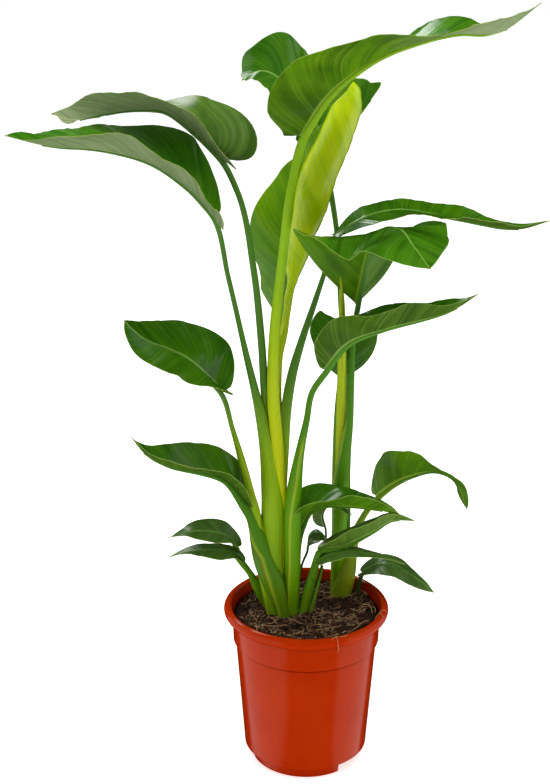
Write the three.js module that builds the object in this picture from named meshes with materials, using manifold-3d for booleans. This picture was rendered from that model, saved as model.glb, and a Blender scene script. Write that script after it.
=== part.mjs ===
// Potted bird of paradise (Strelitzia nicolai) in a moulded nursery pot.
// Millimetres and degrees, +Z up. The pot's axis is the Z axis and its foot stands on z = 0.
// The plant is seen from -Y, with +X to the right.
//
// Every leaf is one solid: a sheathing stalk that runs on under the blade as its midrib, and the
// two halves of the blade. Leaves of one clump hold each other, so each later leaf is relieved
// around the stalks of the earlier ones, and the soil has a plain hole for every stalk.

import * as THREE from 'three';
import { mergeVertices } from 'three/addons/utils/BufferGeometryUtils.js';
import Module from 'manifold-3d';

const wasm = await Module();
wasm.setup();

// Driving dimensions

const GAP = 0.3; // between two leaves that touch
const SOIL_GAP = 0.4; // around a stalk in its hole, and between the soil and the pot
const BLADE_THICKNESS = 1.2;
const BLADE_END_HALF = 1.5; // half width of a blade where it starts
const BLADE_TIP_HALF = 0.7;
const BLADE_WIDEST = 0.36; // share of the length at which a blade is widest
const MIDRIB_END = 0.86; // share of the length at which the midrib has run out
const MIDRIB_END_HALF = 0.9;
const MIDRIB_SINK = 0.6; // share of the midrib's half width by which it lies under the blade

const POT = {
  sides: 32,
  wall: 1.8,
  bead: { radius: 89, z: 188.8, section: 6.1, from: -85, to: 100 }, // arc in degrees
  lip: { inset: 2.6, rise: 4.6 }, // inner top edge, from the centre of the bead's section
  neck: { z: 179, shoulder: 181.8, step: 0.6 }, // where the collar turns out into the bead
  collar: { top: 85.2, bottom: 84.3, z: 151.5, ledge: 1 },
  body: { top: 81.5, bottom: 71.5, z: 15.5 },
  foot: { top: 63.5, bottom: 62.5, height: 10.5, wall: 2.4, chamfer: [2.5, 1] },
  inside: { top: 180, floorFillet: 4 },
  floor: 13,
  floorThickness: 2,
  drain: { count: 8, circle: 44, radius: 5 },
  notch: { count: 2, first: -34, degrees: 38, height: 9 },
};

const SOIL = {
  level: 178.5,
  dish: 6, // how much higher it lies at the wall than in the middle
  rise: { toRight: 0.02, toBack: -0.03 },
  bumps: { height: 1.6, minor: 0.6, wide: [9, 8], narrow: [5, 6] }, // wave lengths over 2 pi
  sectors: 24,
  rings: [14, 28, 42, 55, 67, 76],
  edge: 81.8,
  edgeDrop: 2.5,
};

// Colours of the plain materials

const COLOUR = {
  pot: 0xb5360f,
  soil: 0x2b1d14,
  matureLeaf: 0x2a6412,
  youngLeaf: 0x86a80f,
  smallLeaf: 0x24560f,
};

// Leaves
//
// facing    compass direction of the blade, degrees from +X towards +Y
// stalk     points from the soil up: x, y, z, half width across and half width deep
// midrib    points of the blade's midrib: x, y, z
// half      widest half width of the left and the right half, seen from the stalk
// leftFold, rightFold   angle of each half above the midrib plane at even steps to the tip
// leftCurl, rightCurl   further turn over each half's width, at the stalk and at the tip
// lean      how far the side veins lean towards the tip, keyed by place along the midrib
// baseTaper   0.5 for a blade with rounded lobes, more for one that narrows to its stalk
// outline   where a blade has its own: [place, share of the half width] of its left and right

const BIG = { rows: 11, columns: 3, sides: 8, baseTaper: 0.5 };
const MIDDLE = { rows: 9, columns: 2, sides: 7, baseTaper: 0.5 };
const SMALL = { rows: 7, columns: 2, sides: 5, baseTaper: 0.5 };

const ROUND_BASE = [[0, -50], [0.2, -8], [0.5, 18], [1, 30]];

const youngLeaf = {
  ...BIG,
  facing: 60,
  stalk: [[-25, 19, 291, 3, 3], [-28, 24, 351, 4.3, 4.3], [-33, 29, 410, 5.2, 5.2],
    [-34, 32, 457, 5.3, 5.3], [-32, 36, 485, 5, 5]],
  midrib: [[-29, 40, 508], [-18, 46, 568], [-5, 52, 627], [12, 60, 677], [30, 70, 718],
    [43, 78, 750], [48, 84, 775]],
  half: [60, 105],
  outline: [
    [[0, 0], [0.06, 0.38], [0.18, 0.78], [0.3, 0.93], [0.4, 1], [0.55, 0.84], [0.68, 0.6], [1, 0]],
    [[0, 0], [0.1, 0.1], [0.2, 0.25], [0.35, 0.6], [0.5, 1], [0.7, 0.95], [0.88, 0.82],
      [0.96, 0.6], [1, 0]],
  ],
  leftFold: [-45, -5, 30, 10, 12, 16],
  rightFold: [-30, -30, -25, -20, -20, -20],
  leftCurl: [-20, -20],
  rightCurl: [300, 290],
  lean: [[0, -20], [0.2, -8], [0.5, 18], [1, 30]],
};

const topRightLeaf = {
  ...BIG,
  facing: 0,
  stalk: [[-29, 10, 140, 4.7, 5.3], [-29, 10, 244, 5.2, 5.8], [-29, 10, 332, 6.2, 6.8],
    [-34, 9, 394, 7, 7], [-38, 8, 446, 6.8, 6.8], [-37, 6, 513, 6, 6], [-28, 2, 606, 5.2, 5.2],
    [-18, -2, 690, 4.6, 4.6]],
  midrib: [[-9, -6, 742], [21, -16, 789], [64, -28, 825], [105, -36, 843], [145, -40, 853],
    [189, -40, 855], [229, -36, 883]],
  half: [53, 78],
  leftFold: [5, -10, 0, 20, 10, 0],
  rightFold: [145, 65, 30, 10, 35, 10],
  leftCurl: [-25, 10],
  rightCurl: [-10, 5],
  lean: ROUND_BASE,
  outline: [
    [[0, 0], [0.03, 0.44], [0.1, 0.71], [0.2, 0.91], [0.36, 1], [0.58, 0.79], [0.86, 0.36], [1, 0]],
    [[0, 0], [0.03, 0.4], [0.1, 0.66], [0.2, 0.8], [0.27, 0.86], [0.36, 1], [0.46, 0.88],
      [0.72, 0.55], [0.86, 0.33], [1, 0]],
  ],
};

const upperLeftLeaf = {
  ...BIG,
  facing: 190,
  stalk: [[-33, 16, 330, 2.8, 3.4], [-38, 16, 373, 3.9, 4.5], [-46, 15, 431, 4.5, 4.5],
    [-51, 12, 511, 4.2, 4.2], [-59, 7, 593, 3.6, 3.6], [-77, 1, 684, 3.1, 3.1]],
  midrib: [[-90, -4, 717], [-114, -16, 744], [-146, -30, 772], [-173, -44, 778],
    [-208, -56, 776], [-235, -66, 772], [-259, -72, 779]],
  half: [52, 76],
  leftFold: [5, 10, 20, 40, 75, 75],
  rightFold: [110, 25, -20, -5, 0, 10],
  leftCurl: [0, -5],
  rightCurl: [10, -35],
  lean: ROUND_BASE,
};

const longRightLeaf = {
  ...BIG,
  facing: 10,
  stalk: [[-26, 22, 302, 2.9, 3.4], [-26, 22, 338, 4, 4.6], [-25, 23, 382, 5.2, 6],
    [-24, 24, 417, 6, 6], [-17, 27, 465, 5.4, 5.4], [-6, 31, 505, 4.2, 4.2],
    [7, 37, 544, 3.3, 3.3], [20, 43, 584, 2.6, 2.6]],
  midrib: [[30, 50, 622], [63, 66, 636], [100, 86, 639], [138, 108, 629], [181, 132, 614],
    [241, 154, 598], [284, 166, 605]],
  half: [36, 36],
  leftFold: [-10, 5, 10, 25, 15, 5],
  rightFold: [-5, 5, 10, 20, 25, 35],
  leftCurl: [-15, 5],
  rightCurl: [-10, 15],
  lean: ROUND_BASE,
};

const longLeftLeaf = {
  ...BIG,
  facing: 188,
  stalk: [[-29, 14, 138, 10.6, 16.5], [-31, 14, 178, 10.5, 17.5], [-38, 14, 242, 13.3, 17.3],
    [-38, 14, 325, 13.7, 15.5], [-45, 13, 386, 9, 10], [-54, 10, 433, 5.6, 6],
    [-67, 5, 494, 3.6, 3.6], [-86, -6, 588, 2.7, 2.7]],
  midrib: [[-100, -20, 661], [-124, -44, 695], [-161, -80, 731], [-207, -118, 753],
    [-252, -150, 764], [-291, -172, 779]],
  half: [55, 65],
  leftFold: [-5, 5, 20, 45, 45, 15],
  rightFold: [25, 40, 10, 10, 15, 20],
  leftCurl: [10, -20],
  rightCurl: [0, -10],
  lean: ROUND_BASE,
};

const lowerRightLeaf = {
  ...BIG,
  facing: -4,
  stalk: [[-17, 13, 139, 9.4, 14], [-17, 12, 179, 9.3, 15], [-16, 8, 245, 9.7, 15],
    [-15, 3, 324, 9.3, 13], [-8, -3, 386, 5, 5.6], [-1, -7, 424, 3.7, 3.8],
    [5, -11, 459, 3.4, 3.4]],
  midrib: [[19, -14, 487], [43, -22, 519], [79, -32, 538], [128, -40, 554], [155, -42, 565],
    [179, -40, 581]],
  half: [39, 35],
  leftFold: [20, 20, 25, 25, 30, 0],
  rightFold: [140, 85, 50, 65, 40, 10],
  leftCurl: [0, -5],
  rightCurl: [-5, 10],
  lean: ROUND_BASE,
};

const middleLeftLeaf = {
  ...MIDDLE,
  facing: 200,
  stalk: [[-34, 8, 141, 9.4, 13], [-37, 8, 181, 10.5, 14], [-48, 8, 245, 10.9, 12.7],
    [-57, 7, 288, 8.6, 10.3], [-64, 6, 328, 5.7, 5.7], [-73, 5, 369, 4.3, 4.3],
    [-83, 4, 408, 2.9, 2.9]],
  midrib: [[-95, 4, 455], [-127, -14, 496], [-148, -26, 513], [-171, -42, 529],
    [-186, -52, 545], [-194, -58, 557]],
  half: [37, 46],
  leftFold: [30, 5, -25, -40, -65, -80],
  rightFold: [50, 70, 35, 25, 20, 10],
  leftCurl: [-10, -25],
  rightCurl: [15, 5],
  lean: ROUND_BASE,
};

const lowLeftLeaf = {
  ...MIDDLE,
  facing: 195,
  stalk: [[-26, 1, 145, 8.2, 9.3], [-28, 1, 181, 8.7, 10.4], [-39, 1, 223, 13, 11.5],
    [-49, 1, 249, 11.8, 10.3], [-55, 1, 274, 9.6, 8], [-63, 0, 301, 5.4, 4.8]],
  midrib: [[-68, 0, 321], [-90, -14, 356], [-122, -30, 373], [-144, -42, 382],
    [-163, -52, 394], [-178, -60, 408], [-190, -66, 428]],
  half: [30, 37],
  leftFold: [10, 20, 25, 30, 25, 20],
  rightFold: [20, 30, 40, 50, 25, 5],
  leftCurl: [0, 5],
  rightCurl: [15, -15],
  lean: ROUND_BASE,
};

const smallLeftUpper = {
  ...SMALL,
  facing: 190,
  stalk: [[-66, 17, 222, 1.7, 1.7], [-72, 16, 239, 1.8, 1.8]],
  midrib: [[-79, 14, 259], [-93, 8, 277], [-116, 0, 286], [-138, -8, 288], [-157, -14, 284]],
  half: [17, 20],
  leftFold: [20, 5, -20, -25, 0, 20],
  rightFold: [50, 25, 20, 20, -5, -25],
  leftCurl: [-5, -10],
  rightCurl: [10, -5],
  lean: ROUND_BASE,
};

const smallLeftLower = {
  ...SMALL,
  facing: 180,
  stalk: [[-31, 20, 141, 3.5, 4.1], [-40, 20, 172, 4.7, 5.3], [-49, 19, 188, 5.4, 5.4],
    [-57, 18, 207, 5.6, 5.6], [-65, 15, 225, 3.7, 3.7]],
  midrib: [[-72, 10, 243], [-84, 4, 257], [-107, -2, 263], [-129, -8, 265], [-156, -14, 260]],
  half: [16, 16],
  leftFold: [25, 5, -20, -10, 15, 35],
  rightFold: [25, 5, 5, 5, 10, 10],
  leftCurl: [-5, 0],
  rightCurl: [-5, 0],
  lean: ROUND_BASE,
};

const rolledSpear = {
  ...MIDDLE,
  stalk: [[41, 54, 140, 4.2, 4.2], [40, 51, 247, 4.7, 4.7], [39, 47, 337, 5.6, 5.6],
    [39, 38, 415, 5.7, 5.7], [38, 22, 500, 4.4, 4.4], [36, 10, 568, 2.2, 2.2],
    [34, 6, 590, 0.7, 0.7]],
};

const topBackLeaf = {
  ...BIG,
  facing: 150,
  stalk: [[46, 57, 145, 4.2, 4.2], [46, 60, 185, 4.4, 4.4], [48, 67, 242, 4.7, 4.7],
    [47, 78, 353, 4.6, 4.6], [45, 86, 437, 4.1, 4.1], [39, 93, 531, 3.4, 3.4],
    [33, 98, 614, 3, 3]],
  midrib: [[20, 104, 693], [6, 110, 737], [-14, 116, 763], [-36, 122, 782], [-54, 125, 786],
    [-72, 126, 776]],
  half: [50, 96],
  leftFold: [-40, 0, 0, -20, -30, -30],
  rightFold: [48, 40, 5, 25, 45, 40],
  leftCurl: [0, 0],
  rightCurl: [0, 0],
  lean: [[0, 30], [0.25, 25], [0.5, 20], [1, 30]],
  outline: [
    [[0, 0], [0.1, 0.75], [0.25, 1], [0.5, 0.75], [0.65, 0.5], [0.8, 0.36], [0.93, 0.2], [1, 0]],
    [[0, 0.1], [0.06, 0.8], [0.12, 1], [0.2, 0.86], [0.3, 0.69], [0.5, 0.59], [0.7, 0.58],
      [0.85, 0.35], [0.95, 0.15], [1, 0]],
  ],
};

const backMiddleLeaf = {
  ...MIDDLE,
  facing: 85,
  stalk: [[36, 62, 145, 3.6, 3.6], [36, 66, 190, 3.7, 3.7], [35, 79, 352, 3.9, 3.9],
    [37, 83, 408, 3.7, 3.7]],
  midrib: [[40, 84, 441], [42, 90, 467], [44, 102, 487], [47, 122, 495], [49, 144, 484],
    [51, 156, 462]],
  half: [42, 44],
  leftFold: [30, 20, 10, 10, 10, 10],
  rightFold: [15, 15, 15, 20, 20, 15],
  leftCurl: [10, 10],
  rightCurl: [10, 10],
  lean: [[0, 20], [0.3, 15], [1, 25]],
};

const archingLeaf = {
  ...BIG,
  facing: -45,
  stalk: [[38, 54, 140, 9.6, 10.8], [39, 54, 181, 9.5, 10.7], [39, 48, 264, 9, 10.6],
    [41, 41, 331, 9.5, 10], [44, 36, 371, 7, 7.5], [48, 32, 407, 4.6, 4.8],
    [49, 26, 453, 3.7, 3.7], [51, 19, 518, 3.1, 3.1]],
  midrib: [[53, 14, 552], [64, 0, 616], [76, -26, 648], [93, -60, 657], [104, -94, 649],
    [119, -122, 633]],
  half: [78, 97],
  leftFold: [-10, 2, -20, -18, 0, 0],
  rightFold: [35, 40, 10, -18, -10, -10],
  leftCurl: [0, 0],
  rightCurl: [5, 0],
  lean: [[0, 15], [0.25, 18], [0.5, 18], [1, 25]],
  baseTaper: 1.1,
};

const hangingLeaf = {
  ...MIDDLE,
  facing: -15,
  stalk: [[38, 45, 140, 9.6, 9.6], [42, 46, 181, 11.9, 10.7], [48, 47, 210, 11.1, 10],
    [53, 50, 237, 8, 7.7], [60, 53, 264, 4.5, 4.5], [71, 57, 284, 3.5, 3.5]],
  midrib: [[83, 62, 302], [101, 54, 320], [122, 45, 335], [148, 34, 345], [171, 26, 335],
    [184, 20, 304]],
  half: [34, 38],
  leftFold: [10, -5, -15, -25, -30, -35],
  rightFold: [140, 110, 65, 25, 35, 40],
  leftCurl: [-10, -15],
  rightCurl: [15, 5],
  lean: ROUND_BASE,
};

const rimLeaf = {
  ...SMALL,
  facing: -20,
  stalk: [[60, 41, 142, 2.9, 2.9], [61, 43, 178, 2.8, 2.8], [64, 49, 196, 2.5, 2.5]],
  midrib: [[67, 56, 206], [85, 48, 220], [105, 40, 222], [124, 33, 213], [139, 28, 204],
    [150, 25, 195]],
  half: [20, 22],
  leftFold: [30, 10, 0, 0, -5, -10],
  rightFold: [0, -5, -10, -15, -20, -20],
  leftCurl: [10, -5],
  rightCurl: [5, -15],
  lean: ROUND_BASE,
};

const lowRightLeaf = {
  ...MIDDLE,
  facing: -10,
  stalk: [[-11, 34, 127, 3.6, 3.6], [-11, 33, 180, 3.8, 3.8], [-10, 26, 235, 3.3, 3.3]],
  midrib: [[-8, 18, 278], [3, 14, 303], [21, 8, 314], [48, -2, 318], [78, -12, 318],
    [103, -20, 316]],
  half: [32, 33],
  leftFold: [70, 50, 20, 15, 25, 35],
  rightFold: [30, 25, 25, 50, 55, 55],
  leftCurl: [5, 0],
  rightCurl: [5, 20],
  lean: ROUND_BASE,
};

const smallRightUpper = {
  ...SMALL,
  facing: 5,
  stalk: [[-6, 10, 140, 5.9, 7], [-2, 9, 183, 6.3, 7], [9, 5, 234, 4.9, 5.2], [13, 3, 253, 3.9, 4]],
  midrib: [[15, 2, 263], [38, -3, 268], [56, -8, 278], [78, -14, 294], [95, -18, 307],
    [120, -24, 310]],
  half: [20, 20],
  leftFold: [5, 35, 30, 30, 35, 35],
  rightFold: [30, 50, 65, 65, 70, 75],
  leftCurl: [-5, -5],
  rightCurl: [5, 15],
  lean: ROUND_BASE,
};

const smallRightLower = {
  ...SMALL,
  facing: -5,
  stalk: [[7, 2, 223, 2.5, 2.5], [10, 0, 238, 2.3, 2.3]],
  midrib: [[12, -2, 249], [27, -6, 260], [49, -11, 266], [69, -16, 265], [92, -21, 262],
    [110, -26, 257]],
  half: [15, 15],
  leftFold: [5, 0, -10, -5, 0, 5],
  rightFold: [-25, -15, 0, 5, 10, 15],
  leftCurl: [5, -5],
  rightCurl: [-10, 5],
  lean: ROUND_BASE,
};

const smallSpear = {
  ...SMALL,
  stalk: [[-3, 8, 142, 2, 2], [2, 4, 165, 2, 2], [6, 1, 184, 2, 2], [12, -1, 211, 1.8, 1.8],
    [19, -3, 243, 0.7, 0.7]],
};

const tinyUpperLeaf = {
  ...SMALL,
  facing: -20,
  stalk: [[8, 42, 153, 1.4, 1.4], [15, 41, 199, 1.4, 1.4], [20, 37, 237, 1.3, 1.3]],
  midrib: [[21, 32, 276], [18, 30, 292], [24, 28, 304], [36, 26, 304], [52, 24, 295]],
  half: [9, 19],
  leftFold: [20, 20],
  rightFold: [20, 20],
  leftCurl: [0, 0],
  rightCurl: [0, 0],
  lean: [[0, 25], [1, 35]],
};

const tinyLowerLeaf = {
  ...SMALL,
  facing: -10,
  stalk: [[-13, 46, 144, 1.5, 1.5], [-9, 44, 191, 1.5, 1.5], [-4, 38, 226, 1.4, 1.4]],
  midrib: [[1, 30, 249], [3, 27, 264], [10, 24, 273], [18, 21, 271], [23, 18, 265]],
  half: [7, 16],
  leftFold: [10, 10],
  rightFold: [0, -60, -60],
  leftCurl: [0, 0],
  rightCurl: [0, 0],
  lean: [[0, 20], [1, 20]],
};

// Numbers that change smoothly

const radians = THREE.MathUtils.degToRad;
const mix = THREE.MathUtils.lerp;

// Value at x between keys [x, value], with a soft step from key to key.
function keyed(keys, x) {
  let last = 1;
  while (last < keys.length - 1 && x > keys[last][0]) {
    last += 1;
  }
  const [x0, v0] = keys[last - 1];
  const [x1, v1] = keys[last];
  return mix(v0, v1, THREE.MathUtils.smoothstep(x, x0, x1));
}

function evenlyKeyed(values, x) {
  return keyed(values.map((value, i) => [i / (values.length - 1), value]), x);
}

// Solids from vertices and triangles

function geometryOf(vertices, triangles) {
  const geometry = new THREE.BufferGeometry();
  geometry.setAttribute('position', new THREE.Float32BufferAttribute(vertices, 3));
  geometry.setIndex(triangles);
  return geometry;
}

function solidOf(geometry) {
  const bare = geometryOf(Array.from(geometry.attributes.position.array),
    Array.from(geometry.index.array));
  const welded = mergeVertices(bare, 1e-4);
  return new wasm.Manifold(new wasm.Mesh({
    numProp: 3,
    vertProperties: new Float32Array(welded.attributes.position.array),
    triVerts: new Uint32Array(welded.index.array),
  }));
}

function solidFrom(points, triangles) {
  return solidOf(geometryOf(points.flatMap((p) => p.toArray()), triangles));
}

function unionOf(solids) {
  return solids.reduce((whole, solid) => whole.add(solid));
}

// Blades

// Share of the widest half width at t along the blade: rounded lobes, long drawn-out tip.
function bladeOutline(t, baseTaper) {
  if (t < BLADE_WIDEST) {
    return (1 - (1 - t / BLADE_WIDEST) ** 2.2) ** baseTaper;
  }
  const rest = (t - BLADE_WIDEST) / (1 - BLADE_WIDEST);
  return (1 - rest ** 2) * (1 - 0.12 * Math.sin(Math.PI * rest));
}

// The midrib's point and the blade's own directions there: along, towards its left, upper side.
function bladeFrame(leaf, t) {
  const curve = new THREE.CatmullRomCurve3(
    leaf.midrib.map((p) => new THREE.Vector3(...p)), false, 'catmullrom', 0.5);
  const along = curve.getTangentAt(t);
  const facing = radians(leaf.facing);
  const left = new THREE.Vector3(-Math.sin(facing), Math.cos(facing), 0);
  left.addScaledVector(along, -left.dot(along)).normalize();
  const up = new THREE.Vector3().crossVectors(along, left);
  return { point: curve.getPointAt(t), along, left, up };
}

// Places of a blade's rows along its midrib, closer together near the stalk.
function rowPlaces(leaf) {
  return Array.from({ length: leaf.rows }, (_, i) => (i / (leaf.rows - 1)) ** 1.3);
}

// Rows of points of one half of a blade, each from the midrib out to the margin.
function halfRows(leaf, isLeft) {
  const sign = isLeft ? 1 : -1;
  const folds = isLeft ? leaf.leftFold : leaf.rightFold;
  const curls = isLeft ? leaf.leftCurl : leaf.rightCurl;
  const widest = leaf.half[isLeft ? 0 : 1];
  return rowPlaces(leaf).map((t) => {
    const { point, along, left, up } = bladeFrame(leaf, t);
    const least = mix(BLADE_END_HALF, BLADE_TIP_HALF, t);
    const share = leaf.outline ? keyed(leaf.outline[isLeft ? 0 : 1], t)
      : bladeOutline(t, leaf.baseTaper);
    const width = Math.max(least, widest * share);
    const fold = radians(evenlyKeyed(folds, t));
    const curl = radians(evenlyKeyed(curls, t));
    const lean = radians(keyed(leaf.lean, t));
    const row = [point.clone()];
    for (let j = 0; j < leaf.columns; j += 1) {
      const q = (j + 0.5) / leaf.columns;
      const angle = fold + curl * q;
      const vein = lean * (0.75 + 0.5 * q);
      const step = new THREE.Vector3()
        .addScaledVector(left, sign * Math.cos(vein) * Math.cos(angle))
        .addScaledVector(up, Math.cos(vein) * Math.sin(angle))
        .addScaledVector(along, Math.sin(vein));
      row.push(row[j].clone().addScaledVector(step, width / leaf.columns));
    }
    return row;
  });
}

// Both halves as one grid of points, from the left margin over the midrib to the right margin.
function bladeRows(leaf) {
  const leftHalf = halfRows(leaf, true);
  const rightHalf = halfRows(leaf, false);
  return leftHalf.map((row, i) => [...row.slice(1).reverse(), ...rightHalf[i]]);
}

function rowNormal(rows, i, j) {
  const before = rows[Math.max(i - 1, 0)][j];
  const after = rows[Math.min(i + 1, rows.length - 1)][j];
  const leftward = rows[i][Math.max(j - 1, 0)];
  const rightward = rows[i][Math.min(j + 1, rows[i].length - 1)];
  const along = new THREE.Vector3().subVectors(after, before);
  const across = new THREE.Vector3().subVectors(rightward, leftward);
  return along.cross(across).normalize();
}

// A closed plate of even thickness about a grid of points, split alike on both faces.
function plate(rows, thickness) {
  const columns = rows[0].length;
  const count = rows.length * columns;
  const at = (i, j) => i * columns + j;
  const faces = [1, -1].map((side) => rows.flatMap((row, i) => row.map((p, j) =>
    p.clone().addScaledVector(rowNormal(rows, i, j), side * thickness / 2))));
  const triangles = [];
  for (let i = 0; i < rows.length - 1; i += 1) {
    for (let j = 0; j < columns - 1; j += 1) {
      const corners = [at(i, j), at(i + 1, j), at(i + 1, j + 1), at(i, j + 1)];
      const [a, b, c, d] = corners;
      triangles.push(a, b, c, a, c, d);
      const [e, f, g, h] = corners.map((k) => k + count);
      triangles.push(e, g, f, e, h, g);
    }
  }
  const edge = [];
  for (let i = 0; i < rows.length - 1; i += 1) edge.push(at(i, 0));
  for (let j = 0; j < columns - 1; j += 1) edge.push(at(rows.length - 1, j));
  for (let i = rows.length - 1; i > 0; i -= 1) edge.push(at(i, columns - 1));
  for (let j = columns - 1; j > 0; j -= 1) edge.push(at(0, j));
  edge.forEach((a, k) => {
    const b = edge[(k + 1) % edge.length];
    triangles.push(a, a + count, b + count, a, b + count, b);
  });
  return solidFrom(faces.flat(), triangles);
}

// Stalks

// Rings of the stalk, and on under the blade as its midrib: centre and half widths.
function stalkRings(leaf) {
  const rings = leaf.stalk.map(([x, y, z, across, deep]) => (
    { centre: new THREE.Vector3(x, y, z), across, deep }));
  if (leaf.midrib) {
    const start = leaf.stalk.at(-1)[3];
    for (const t of rowPlaces(leaf).filter((place) => place < MIDRIB_END)) {
      const { point, up } = bladeFrame(leaf, t);
      const half = mix(start, MIDRIB_END_HALF, (t / MIDRIB_END) ** 0.7);
      point.addScaledVector(up, -MIDRIB_SINK * half);
      rings.push({ centre: point, across: half, deep: half });
    }
  }
  return rings;
}

// A closed tube with an oval section through the given rings, made wider by `extra` all over.
function oval(rings, sides, extra) {
  const points = [];
  const triangles = [];
  const side = new THREE.Vector3(1, 0, 0);
  const last = rings.length - 1;
  rings.forEach((ring, i) => {
    const before = rings[Math.max(i - 1, 0)].centre;
    const after = rings[Math.min(i + 1, last)].centre;
    const along = new THREE.Vector3().subVectors(after, before).normalize();
    const end = (i === last) - (i === 0);
    const centre = ring.centre.clone().addScaledVector(along, end * extra);
    side.addScaledVector(along, -side.dot(along)).normalize();
    const depth = new THREE.Vector3().crossVectors(along, side);
    for (let j = 0; j < sides; j += 1) {
      const turn = 2 * Math.PI * j / sides;
      points.push(centre.clone()
        .addScaledVector(side, (ring.across + extra) * Math.cos(turn))
        .addScaledVector(depth, (ring.deep + extra) * Math.sin(turn)));
    }
  });
  for (let i = 0; i < last; i += 1) {
    for (let j = 0; j < sides; j += 1) {
      const a = i * sides + j;
      const b = i * sides + (j + 1) % sides;
      triangles.push(a, b, b + sides, a, b + sides, a + sides);
    }
  }
  const top = last * sides;
  for (let j = 1; j < sides - 1; j += 1) {
    triangles.push(0, j + 1, j);
    triangles.push(top, top + j, top + j + 1);
  }
  return solidFrom(points, triangles);
}

function stalkSolid(leaf, extra = 0) {
  return oval(stalkRings(leaf), leaf.sides, extra);
}

function leafSolid(leaf) {
  const stalk = stalkSolid(leaf);
  return leaf.midrib ? stalk.add(plate(bladeRows(leaf), BLADE_THICKNESS)) : stalk;
}

// Leaves of one clump from the inside out, each relieved around the stalks before it.
function clump(entries) {
  const made = [];
  const held = [];
  for (const [name, leaves, colour] of entries) {
    let solid = unionOf(leaves.map(leafSolid));
    for (const stalk of held) {
      solid = solid.subtract(stalk);
    }
    made.push([name, solid, colour]);
    held.push(...leaves.map((leaf) => stalkSolid(leaf, GAP)));
  }
  return made;
}

// Pot and soil

// A closed solid of revolution from an outline [radius, z] that starts and ends on the axis.
function revolved(outline, sides) {
  const points = [];
  const rings = outline.map(([radius, z]) => {
    const start = points.length;
    const count = radius === 0 ? 1 : sides;
    for (let j = 0; j < count; j += 1) {
      const turn = 2 * Math.PI * j / sides;
      points.push(new THREE.Vector3(radius * Math.cos(turn), radius * Math.sin(turn), z));
    }
    return { start, count };
  });
  const triangles = [];
  for (let i = 0; i < rings.length - 1; i += 1) {
    const low = rings[i];
    const high = rings[i + 1];
    for (let j = 0; j < sides; j += 1) {
      const a = low.start + j % low.count;
      const b = low.start + (j + 1) % low.count;
      const c = high.start + (j + 1) % high.count;
      const d = high.start + j % high.count;
      if (low.count > 1) triangles.push(a, b, c);
      if (high.count > 1) triangles.push(a, c, d);
    }
  }
  return solidFrom(points, triangles);
}

function arcPoints(centreRadius, centreZ, radius, from, to, steps) {
  return Array.from({ length: steps + 1 }, (_, i) => {
    const angle = radians(mix(from, to, i / steps));
    return [centreRadius + radius * Math.cos(angle), centreZ + radius * Math.sin(angle)];
  });
}

// Inner outline of the wall, from the floor's edge up to the bead.
function wallInside() {
  const { wall, body, collar, inside, floor } = POT;
  return [
    [body.bottom - wall - inside.floorFillet, floor],
    [body.bottom - wall, floor + inside.floorFillet],
    [body.top - wall, collar.z - 2 * collar.ledge],
    [collar.bottom - wall, collar.z + collar.ledge],
    [collar.top - wall, inside.top],
  ];
}

function potSolid() {
  const { bead, lip, neck, collar, body, foot, floor, floorThickness } = POT;
  const [chamferOut, chamferUp] = foot.chamfer;
  const outline = [
    [0, floor - floorThickness],
    [foot.bottom - foot.wall, floor - floorThickness],
    [foot.bottom - foot.wall, 0],
    [foot.bottom, 0],
    [foot.top, foot.height],
    [foot.top + chamferOut, foot.height + chamferUp],
    [body.bottom, body.z],
    [body.top, collar.z - collar.ledge],
    [collar.bottom, collar.z],
    [collar.top, neck.z],
    [collar.top + neck.step, neck.shoulder],
    ...arcPoints(bead.radius, bead.z, bead.section, bead.from, bead.to, 5),
    [bead.radius - lip.inset, bead.z + lip.rise],
    ...wallInside().reverse(),
    [0, floor],
  ];
  let pot = revolved(outline, POT.sides);
  for (const hole of [...drainHoles(), ...footNotches()]) {
    pot = pot.subtract(hole);
  }
  return pot;
}

function drainHoles() {
  const { count, circle, radius } = POT.drain;
  return Array.from({ length: count }, (_, i) => {
    const turn = 2 * Math.PI * i / count;
    const hole = new THREE.CylinderGeometry(radius, radius, 4 * POT.floorThickness, 8);
    hole.rotateX(Math.PI / 2);
    hole.translate(circle * Math.cos(turn), circle * Math.sin(turn),
      POT.floor - POT.floorThickness / 2);
    return solidOf(hole);
  });
}

// Openings through the foot ring, each a wedge of a flat ring about the axis.
function footNotches() {
  const { count, first, degrees, height } = POT.notch;
  return Array.from({ length: count }, (_, i) => {
    const centre = first + 360 * i / count;
    const shape = new THREE.Shape();
    const from = radians(centre - degrees / 2);
    const to = radians(centre + degrees / 2);
    shape.absarc(0, 0, POT.foot.top + POT.foot.wall, from, to, false);
    shape.absarc(0, 0, POT.foot.bottom - 2 * POT.foot.wall, to, from, true);
    const notch = new THREE.ExtrudeGeometry(shape,
      { depth: height + 1, bevelEnabled: false, curveSegments: 6 });
    notch.translate(0, 0, -1);
    return solidOf(mergeVertices(withoutExtras(notch), 1e-4));
  });
}

function withoutExtras(geometry) {
  const bare = new THREE.BufferGeometry();
  bare.setAttribute('position', geometry.attributes.position.clone());
  return bare;
}

function soilHeight(x, y) {
  const slope = SOIL.rise.toRight * x + SOIL.rise.toBack * y;
  const dish = SOIL.dish * (Math.hypot(x, y) / SOIL.edge) ** 2;
  const { height, minor, wide, narrow } = SOIL.bumps;
  const bumps = Math.sin(x / wide[0] + 0.6) * Math.cos(y / wide[1])
    + minor * Math.sin(x / narrow[0] - y / narrow[1]);
  return SOIL.level + dish + slope + height * bumps;
}

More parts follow.
